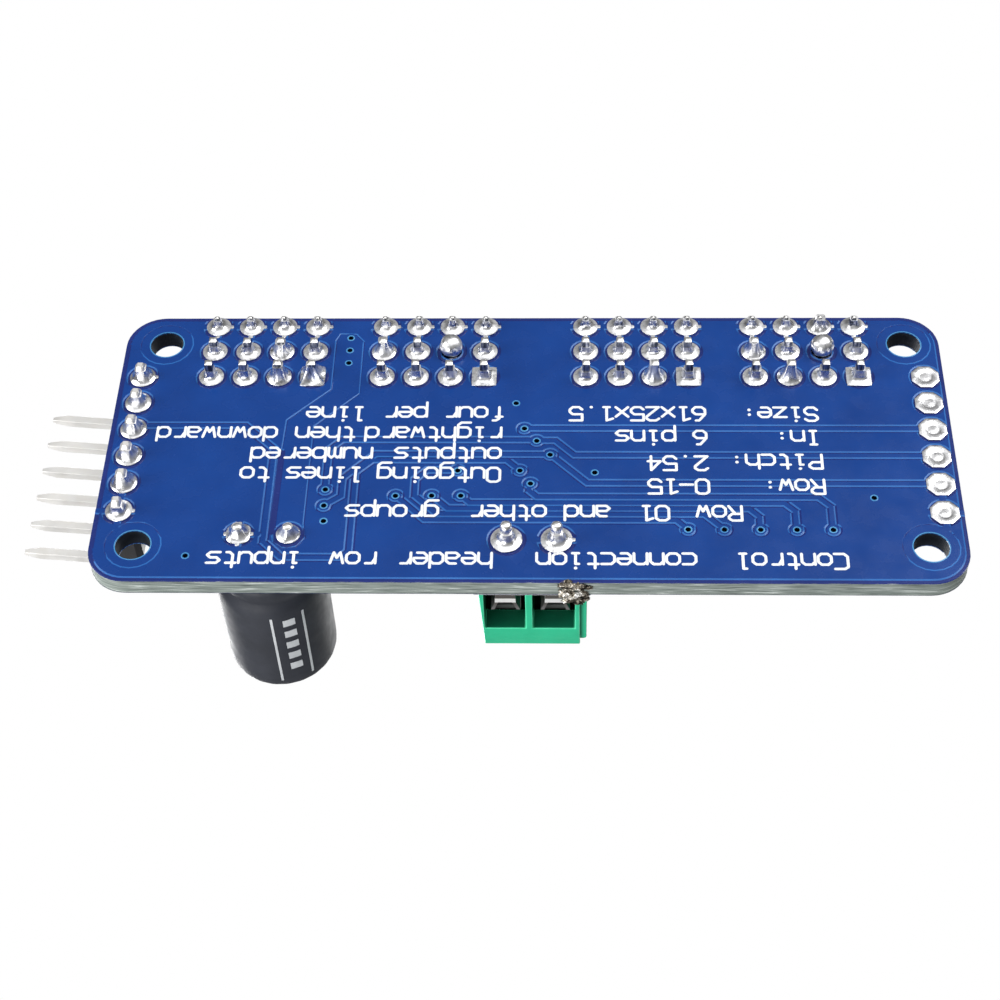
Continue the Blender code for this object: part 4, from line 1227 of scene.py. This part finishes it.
# Radii of the sleeve and heights over its base, then insets and depths under its top.
SLEEVE_FOOT = ((3.05, 0.06), (3.5, 0.0), (3.78, 0.08), (3.92, 0.3), (3.96, 0.7), (3.9, 1.2), (3.76, 1.6))
SLEEVE_FOOT += ((3.76, 1.85), (3.9, 2.25), (SLEEVE_RADIUS - 0.02, 2.7), (SLEEVE_RADIUS, 3.4))
SLEEVE_HEAD = ((0.0, 1.2), (0.02, 0.5), (0.1, 0.2), (0.3, 0.03), (0.6, 0.0), (0.82, 0.04), (0.84, 0.12))
# Radii of the can and heights over its base, then radii and depths under its top.
CAN_FOOT = ((3.7, 0.0), (3.7, 1.0), (3.5, 1.6), (3.8, 2.4))
CAN_HEAD = ((3.8, 0.5), (3.7, 0.15), (3.5, 0.02), (3.1, 0.0))
STRIPE_LINES = (50, 84)  # angles of the stripe's two thin lines, in degrees
STRIPE_DASHES = (61, 74)  # angles between which its dashes run
STRIPE_MARKS = 5


def sleeve(mesh):
    """Shrunk sleeve: a little uneven, and puckered near both ends."""
    profile = [(radius, SLEEVE_BASE + rise) for radius, rise in SLEEVE_FOOT]
    profile += [(SLEEVE_RADIUS - inset, SLEEVE_TOP - depth) for inset, depth in SLEEVE_HEAD]
    rings = []
    for radius, z in profile:
        near_end = max(0.0, 1 - (z - SLEEVE_BASE) / 2.2) + max(0.0, 1 - (SLEEVE_TOP - z) / 1.2)

        def wrap(angle):
            shrink = 0.02 * noise.noise(Vector((cos(angle) * 2, sin(angle) * 2, z * 0.6)))
            pucker = 0.012 * near_end * sin(angle * 23 + z)
            return radius + shrink * 0.6 + pucker - 0.012

        rings.append(ring(wrap, z, 96, CAN.x, CAN.y))
    add_loft(mesh, rings, caps=False)


def can(mesh):
    profile = [(radius, CAN_LOW.z + rise) for radius, rise in CAN_FOOT]
    profile += [(radius, CAN_HIGH.z - depth) for radius, depth in CAN_HEAD]
    add_lathe(mesh, profile, 64, CAN.x, CAN.y)


def vent(angle):
    """Cutter of one arm of the lid's vent."""

    def cut(mesh):
        turn = Matrix.Rotation(radians(angle), 3, "Z")
        outline = [turn @ Vector((a, b, 0)) for a, b in rectangle((0.0, -0.09), (2.6, 0.09))]
        outline = [(CAN.x + p.x, CAN.y + p.y) for p in outline]
        add_prism(mesh, outline, CAN_HIGH.z - 0.14, CAN_HIGH.z + 1)

    return cut


def add_patch(mesh, start, end, low, high):
    """Thin print on the sleeve, between two angles in degrees and two heights."""
    steps = max(1, int((end - start) / 4))
    reach = SLEEVE_RADIUS + 0.015
    inner = arc(reach - 0.04, start, end, steps, CAN.x, CAN.y)
    outer = arc(reach, start, end, steps, CAN.x, CAN.y)
    add_loft(mesh, [[(*a, low), (*b, low), (*b, high), (*a, high)] for a, b in zip(inner, outer)])


def stripe(mesh):
    """Polarity stripe: two thin lines and a row of dashes, printed on the sleeve."""
    for start in STRIPE_LINES:
        add_patch(mesh, start, start + 2.5, SLEEVE_BASE + 3.2, SLEEVE_TOP - 0.9)
    span = (SLEEVE_TOP - SLEEVE_BASE - 5.2) / STRIPE_MARKS
    for i in range(STRIPE_MARKS):
        z = SLEEVE_BASE + 3.6 + span * i
        add_patch(mesh, *STRIPE_DASHES, z, z + span * 0.55)


def make_capacitor():
    piece("capacitor_shrink_sleeve", sleeve, ["sleeve"], ["capacitor_sleeve"], crease=70.0)
    vents = [vent(angle) for angle in (90, 210, 330)]
    item = carved_piece("capacitor_shell", can, vents, ["aluminium"], ["capacitor_can"])
    bevelled(item, 0.05)
    piece("capacitor_stripe", stripe, ["sleeve_ink"])

    # Each lead's joint: how hollow it is, how square its pad is, and the spokes beside it.
    joints = ((1.25, 3.0, FOUR_WAYS), (1.1, 2.0, ()))
    for label, (x, y), (bend, power, spokes) in zip(("minus", "plus"), CAN_LEADS, joints):
        node = f"capacitor_lead_{label}"
        low, high = box(node)

        def lead(mesh):
            add_fillet(mesh, x, y, 0.87, 0.86, 0.36, bend, 0.08, power, 2.0)
            profile = ((0.1, low.z), (0.22, low.z + 0.03), (0.3, low.z + 0.12), (0.3, high.z))
            add_lathe(mesh, profile, 16, x, y)
            add_tabs(mesh, x, y, 0.9, spokes)

        piece(f"tinned_lead_{label}", lead, ["pin_tin", "solder"], [node], crease=40.0)


# ---------------------------------------------------------------- component side


CHIP_LEADS = 14
CHIP_LEADS_LOW, CHIP_LEADS_HIGH = box("driver_chip_leads_front")
CHIP_FIRST = CHIP_LEADS_LOW.x + 0.12
CHIP_PITCH = (CHIP_LEADS_HIGH.x - CHIP_LEADS_LOW.x - 0.24) / (CHIP_LEADS - 1)


def make_chip():
    low, high = box("driver_chip_body")
    centre = (low + high) / 2

    def body(mesh):
        rings = []
        stations = [(low.z, 0.1), (low.z + 0.04, 0.06), (centre.z - 0.05, 0.0), (centre.z + 0.05, 0.0)]
        for z, inset in [*stations, (high.z - 0.04, 0.1), (high.z, 0.14)]:
            corners = rectangle((low.x + inset, low.y + inset), (high.x - inset, high.y - inset))
            rings.append([(x, y, z) for x, y in corners])
        add_loft(mesh, rings)

    def dimple(mesh):
        add_lathe(mesh, ((0.45, high.z - 0.06), (0.5, high.z + 1)), 32, low.x + 1.0, low.y + 1.0)

    item = carved_piece("driver_chip_case", body, [dimple], ["epoxy"], ["driver_chip_body"])
    bevelled(item, 0.03)

    def toes(mesh):
        """A flat pad under each lead, and the wedge of solder at its toe."""
        for label, side in (("front", -1), ("back", 1)):
            lead_low, lead_high = box(f"driver_chip_leads_{label}")
            toe = lead_low.y if side < 0 else lead_high.y
            heel = toe - side * 0.12
            wedge = [(toe + side * 0.3, BOARD_TOP + 0.02), (heel, BOARD_TOP + 0.02)]
            wedge += [(heel, BOARD_TOP + 0.16), (toe, BOARD_TOP + 0.14)]
            for i in range(CHIP_LEADS):
                x = CHIP_FIRST + CHIP_PITCH * i
                pad = rectangle((x - 0.19, toe - side * 0.9), (x + 0.19, toe + side * 0.35))
                add_prism(mesh, pad, BOARD_TOP, BOARD_TOP + 0.03)
                add_prism(mesh, wedge, x - 0.13, x + 0.13, "x")

    piece("chip_solder", toes, ["solder"])


def end_pairs(low, high, contacts, share, out, inner, beside):
    """Rectangles over both ends of a small part, or over each pair of contacts of an array.

    They reach from out of the body to inner. share is half a contact's width over its pitch, and beside
    is how far an end's rectangle stands past the body's sides.
    """
    if not contacts:
        near, far = low.y - beside, high.y + beside
        return [((low.x - out, near), (low.x + inner, far)), ((high.x - inner, near), (high.x + out, far))]
    pairs = []
    width = (high.x - low.x) / contacts
    for i in range(contacts):
        x, half = low.x + width * (i + 0.5), width * share
        pairs.append(((x - half, low.y - out), (x + half, low.y + inner)))
        pairs.append(((x - half, high.y - inner), (x + half, high.y + out)))
    return pairs


def capped(name, node, ends, top_look, body_look, contacts=0):
    """Block between two tinned ends, or an array with this many pairs of contacts along its sides."""
    low, high = box(node)
    centre = (low + high) / 2

    def body(mesh):
        inset = 0.02
        add_box(mesh, (low.x + inset, low.y + inset, low.z), (high.x - inset, high.y - inset, high.z - 0.06))
        trim_x, trim_y = (0.0, ends) if contacts else (ends, 0.0)
        top_low = (low.x + trim_x, low.y + trim_y, high.z - 0.08)
        add_box(mesh, top_low, (high.x - trim_x, high.y - trim_y, high.z - 0.01), 1)

    def tips(mesh):
        for corner, opposite in end_pairs(low, high, contacts, 0.28, 0.02, ends, 0.01):
            add_box(mesh, (*corner, low.z - 0.01), (*opposite, high.z))

    def wet(mesh):
        """Solder pads and the small fillets that climb the ends."""
        for corner, opposite in end_pairs(low, high, contacts, 0.32, 0.4, 0.2 if contacts else 0.3, 0.08):
            outline = rectangle(corner, opposite)
            mid_x, mid_y = (corner[0] + opposite[0]) / 2, (corner[1] + opposite[1]) / 2
            shift_x = 0.0 if contacts else copysign(0.14, centre.x - mid_x)
            shift_y = copysign(0.12, centre.y - mid_y) if contacts else 0.0
            rings = [[(x, y, z) for x, y in outline] for z in (BOARD_TOP, BOARD_TOP + 0.03)]
            rings.append([
                (mid_x + (x - mid_x) * 0.55 + shift_x, mid_y + (y - mid_y) * 0.55 + shift_y, BOARD_TOP + 0.26)
                for x, y in outline
            ])
            add_loft(mesh, rings)

    bevelled(piece(name, body, [body_look, top_look], [node]), 0.03)
    bevelled(piece(f"{name}_ends", tips, ["pin_tin"]), 0.03)
    bevelled(piece(f"{name}_solder", wet, ["solder"]), 0.03)


def make_small_parts():
    for kind, count in (("output", 4), ("address", 2)):
        for i in range(1, count + 1):
            node = f"{kind}_resistor_array_{i}"
            capped(f"{kind}_array_{i}", node, 0.28, "film", "ceramic", 4)
    capped("lamp_resistor", "light_resistor", 0.35, "film", "ceramic")
    capped("guard_resistor", "enable_resistor", 0.35, "film", "ceramic")
    for i in (1, 2):
        capped(f"tan_capacitor_{i}", f"ceramic_capacitor_{i}", 0.4, "tan", "tan")
    capped("indicator", "power_light", 0.3, "lens", "lens")


def make_top_mask():
    copper = Copper()
    for place in VIAS:
        copper.trace([place], VIA_COPPER, GAP)
        copper.hole(*place, VIA_HOLE)
    for place in MOUNTS:
        copper.trace([place], MOUNT_RADIUS + 0.8, 0.12)
        copper.hole(*place, MOUNT_RADIUS)
    for x, y in SPARE + CONTROL:
        copper.trace([(x, y)], 1.05, 0.2)
    arrays = [middle(f"output_resistor_array_{i + 1}") for i in range(4)]
    for i in range(CHIP_LEADS - 1):
        x = CHIP_FIRST + CHIP_PITCH * i
        array_x = arrays[min(i // 4, 3)].x - 1.2 + 0.8 * (i % 4)
        lane = -0.55 - 0.42 * (i % 5)
        if abs(array_x - x) > 1:
            line = [(x, CHIP_LEADS_LOW.y + 0.2), (x, lane - 1.2), (array_x, lane - 1.2)]
        else:
            line = [(x, CHIP_LEADS_LOW.y), (x, lane - 1)]
        copper.trace(line, 0.13, 0.16)
    for group, target in zip(GROUPS, arrays):
        for k, (x, y) in enumerate(row_pins(group, "signal")):
            start = (target.x - 1.2 + 0.8 * k, target.y - 0.9)
            copper.trace([start, (start[0], start[1] - 0.3), (x, y + 1.2), (x, y)], 0.13, 0.16)
    for k, (x, y) in enumerate(CONTROL[:5]):
        bend, end = (x + 6.0, y * 0.6 + 1.0), (CHIP_LEADS_LOW.x - 1.0, y * 0.5 + 0.6)
        copper.trace([(x, y), (x + 2.2 + 0.5 * k, y), bend, end], 0.16, 0.18)
    return mask_piece("solder_mask_top", copper, True)


def frame_lines(low, high):
    corners = rectangle(low, high)
    return lines_through([*corners, corners[0]])


def make_top_text():
    """Outlines of the parts, plain numerals of the channels, and polarity signs."""

    def build(mesh):
        def write(word, x, y, scale=1.0, half=INK_HALF, stretch=1.0):
            add_ink(mesh, text_outlines(word, lambda u, v: (x + u * stretch, y + v), scale, half), True)

        lines = []
        for group in GROUPS:
            first = row_pins(group, "ground")[0]
            last = row_pins(group, "signal")[-1]
            lines += frame_lines((first[0] - 1.5, first[1]), (last[0] + 1.5, last[1] + 1.45))
        add_ink(mesh, lines, True)
        for n in range(16):
            x, y = row_pins(GROUPS[n // 4], "signal")[n % 4]
            width = (ADVANCE * (len(str(n)) - 1) + 0.9) * 0.62
            write(str(n), x - width / 2, y + 1.75, 0.62, 0.07)
        low, high = box("control_header_base")
        lines = frame_lines((low.x - 0.2, low.y - 0.2), (high.x + 0.2, high.y + 0.2))
        low, high = box("terminal_housing")
        lines += frame_lines((low.x - 0.25, low.y - 0.25), (high.x + 0.2, BOARD_HIGH.y - 0.1))
        add_ink(mesh, lines, True)
        points = [p for p in circle(CAN.x, CAN.y, SLEEVE_RADIUS + 0.35, 64) if p[1] < BOARD_HIGH.y - 0.3]
        near = [(a, b) for a, b in zip(points, points[1:]) if hypot(a[0] - b[0], a[1] - b[1]) < 1]
        add_ink(mesh, [stroke([a, b], 0.09, 3) for a, b in near], True)
        low, high = box("driver_chip_body")
        add_ink(mesh, lines_through([(low.x - 0.35, low.y), (low.x - 0.35, high.y)]), True)
        write("+", CAN_LEADS[1][0] + 3.2, 5.0)
        write("-", CAN_LEADS[0][0] - 3.4, 5.0)
        write("+", 4.9, 10.6)
        write("-", -5.6, 10.6)
        for i, (x, y) in enumerate(CONTROL):
            for left in (x + 1.9, SPARE_X - 2.4):
                write(str(i + 1), left, y - 0.5, 0.8, 0.08, 0.9)

    return piece("legend_top", build, ["ink"], outward=False)


# ---------------------------------------------------------------- residue on the near edge


# Folded balls that make up the lump: centre and radius.
LUMPS = [(2.35, 12.6, 0.35, 0.34), (2.85, 12.65, 0.5, 0.42), (3.45, 12.6, 0.5, 0.42)]
LUMPS += [(2.5, 12.72, 1.2, 0.42), (3.1, 12.75, 1.4, 0.44), (3.7, 12.65, 1.3, 0.36)]
LUMPS += [(2.7, 12.7, 1.9, 0.36), (3.4, 12.7, 2.1, 0.36), (4.1, 12.6, 0.6, 0.26)]
LUMPS += [(2.7, 12.55, 0.05, 0.26), (3.9, 12.62, 1.9, 0.26)]


def make_residue():
    """Crumpled lump of flux and solder that clings to the board's edge beside the terminal."""

    def build(mesh):
        for x, y, z, radius in LUMPS:
            made = bmesh.ops.create_icosphere(mesh, subdivisions=4, radius=1.0)
            for vert in made["verts"]:
                way = vert.co.normalized()
                centre = Vector((x, y, z))
                seed = way * 2.1 + centre
                folds = abs(noise.noise(seed * 1.6)) * 1.1 + 0.6 * abs(noise.noise(seed * 3.7))
                reach = radius * (0.62 + folds)
                vert.co = centre + Vector((way.x * reach, way.y * reach * 0.45, way.z * reach * 0.85))

    return piece("edge_residue", build, ["residue"], crease=80.0)


# ---------------------------------------------------------------- CAD nodes that stay


def keep_nodes():
    """Give the CAD nodes that stay their finish and eased edges."""
    colors = {"signal": "yellow", "supply": "red", "ground": "black"}
    kept = {f"servo_strip_{group}_{row}": colors[row] for group in GROUPS for row in ROWS}
    kept |= {"control_header_base": "black", "wire_clamp_1": "clamp", "wire_clamp_2": "clamp"}
    kept |= {"driver_chip_leads_front": "pin_tin", "driver_chip_leads_back": "pin_tin"}
    kept |= {"capacitor_seal": "rubber", "capacitor_winding": "paper", "reverse_guard_transistor": "epoxy"}
    for node, look in kept.items():
        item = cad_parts[node]
        item.data.materials.clear()
        item.data.materials.append(LOOKS[look].made)
        if node not in ("capacitor_seal", "capacitor_winding"):
            bevelled(item, 0.02 if "leads" in node else 0.06)


# ---------------------------------------------------------------- stage


def make_floor():
    """Pale table top under the board, seen only from above."""
    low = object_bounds()[0]
    half = 0.6
    data = bpy.data.meshes.new("table_top")
    corners = rectangle((-half, -half), (half, half))
    data.from_pydata([(x, y, low.z - 0.00002) for x, y in corners], [], [(0, 1, 2, 3)])
    floor = bpy.data.objects.new("table_top", data)
    bpy.context.scene.collection.objects.link(floor)
    made = bpy.data.materials.new("table_top")
    made.use_nodes = True
    tree = made.node_tree
    shader = tree.nodes["Principled BSDF"]
    shader.inputs["Base Color"].default_value = (0.82, 0.82, 0.82, 1.0)
    shader.inputs["Roughness"].default_value = 0.7
    clear = tree.nodes.new("ShaderNodeBsdfTransparent")
    side = tree.nodes.new("ShaderNodeNewGeometry")
    mix = tree.nodes.new("ShaderNodeMixShader")
    tree.links.new(side.outputs["Backfacing"], mix.inputs["Fac"])
    tree.links.new(shader.outputs["BSDF"], mix.inputs[1])
    tree.links.new(clear.outputs["BSDF"], mix.inputs[2])
    tree.links.new(mix.outputs["Shader"], tree.nodes["Material Output"].inputs["Surface"])
    data.materials.append(made)
    floor.visible_diffuse = floor.visible_glossy = floor.visible_shadow = floor.visible_transmission = False


def make_world():
    """White studio: brightest from below and above, dimmer towards the horizon."""
    world = bpy.data.worlds.new("studio")
    bpy.context.scene.world = world
    world.use_nodes = True
    tree = world.node_tree
    background = tree.nodes["Background"]
    place = tree.nodes.new("ShaderNodeTexCoord")
    split = tree.nodes.new("ShaderNodeSeparateXYZ")
    ramp = tree.nodes.new("ShaderNodeValToRGB")
    lift = tree.nodes.new("ShaderNodeMapRange")
    lift.inputs["From Min"].default_value = -1.0
    lift.inputs["From Max"].default_value = 1.0
    tree.links.new(place.outputs["Generated"], split.inputs["Vector"])
    tree.links.new(split.outputs["Z"], lift.inputs["Value"])
    tree.links.new(lift.outputs["Result"], ramp.inputs["Fac"])
    grey = ((0.0, 1.7), (0.05, 1.2), (0.1, 0.45), (0.3, 0.28), (0.5, 0.12), (0.75, 0.2), (1.0, 0.5))
    set_stops(ramp, [(position, (value,) * 3) for position, value in grey])
    seen = tree.nodes.new("ShaderNodeLightPath")
    white = tree.nodes.new("ShaderNodeBackground")
    white.inputs["Color"].default_value = (1.0, 1.0, 1.0, 1.0)
    mix = tree.nodes.new("ShaderNodeMixShader")
    tree.links.new(ramp.outputs["Color"], background.inputs["Color"])
    tree.links.new(seen.outputs["Is Camera Ray"], mix.inputs["Fac"])
    tree.links.new(background.outputs["Background"], mix.inputs[1])
    tree.links.new(white.outputs["Background"], mix.inputs[2])
    tree.links.new(mix.outputs["Shader"], tree.nodes["World Output"].inputs["Surface"])


# Soft square lights aimed at the origin: place and size in millimetres, power in watts.
LIGHTS = {
    "under_key": ((190, -90, -250), 200, 0.75),
    "under_left": ((-260, 40, -150), 180, 0.5),
    "front_fill": ((-170, 300, 30), 220, 1.1),
    "over_key": ((-150, -180, 300), 220, 1.6),
    "over_fill": ((170, -210, 240), 240, 0.6),
}


def make_lights():
    for name, (place, size, power) in LIGHTS.items():
        data = bpy.data.lights.new(name, "AREA")
        data.shape = "SQUARE"
        data.size = size * MM
        data.energy = power
        lamp = bpy.data.objects.new(name, data)
        lamp.location = Vector(place) * MM
        lamp.rotation_euler = (-Vector(place)).to_track_quat("-Z", "Y").to_euler()
        bpy.context.scene.collection.objects.link(lamp)


CAMERA_PLACE = (2.8746, 92.5030, -110.0342)
CAMERA_RIGHT = (0.99936175, -0.02376938, 0.02666654)
CAMERA_DOWN = (0.00209267, 0.78416686, 0.6205465)
CAMERA_AHEAD = (-0.03566102, -0.62009464, 0.78371611)
CAMERA_LENS = 71.44


def make_camera():
    data = bpy.data.cameras.new("camera")
    data.sensor_width = 36.0
    data.lens = CAMERA_LENS
    data.clip_start = 0.001
    data.clip_end = 10.0
    camera = bpy.data.objects.new("camera", data)
    right, down, ahead = Vector(CAMERA_RIGHT), Vector(CAMERA_DOWN), Vector(CAMERA_AHEAD)
    turn = Matrix((right, -down, -ahead)).transposed()
    camera.matrix_world = Matrix.Translation(Vector(CAMERA_PLACE) * MM) @ turn.to_4x4()
    bpy.context.scene.collection.objects.link(camera)
    bpy.context.scene.camera = camera


def main():
    make_camera()
    make_world()
    make_lights()
    bpy.context.scene.view_settings.view_transform = "Standard"
    make_laminate()
    make_under_mask()
    make_top_mask()
    make_via_rings()
    make_under_text()
    make_top_text()
    make_servo_pins()
    make_control_pins()
    make_spare_pads()
    make_housing()
    make_screws()
    make_contacts()
    make_capacitor()
    make_chip()
    make_small_parts()
    make_residue()
    keep_nodes()
    make_floor()


main()
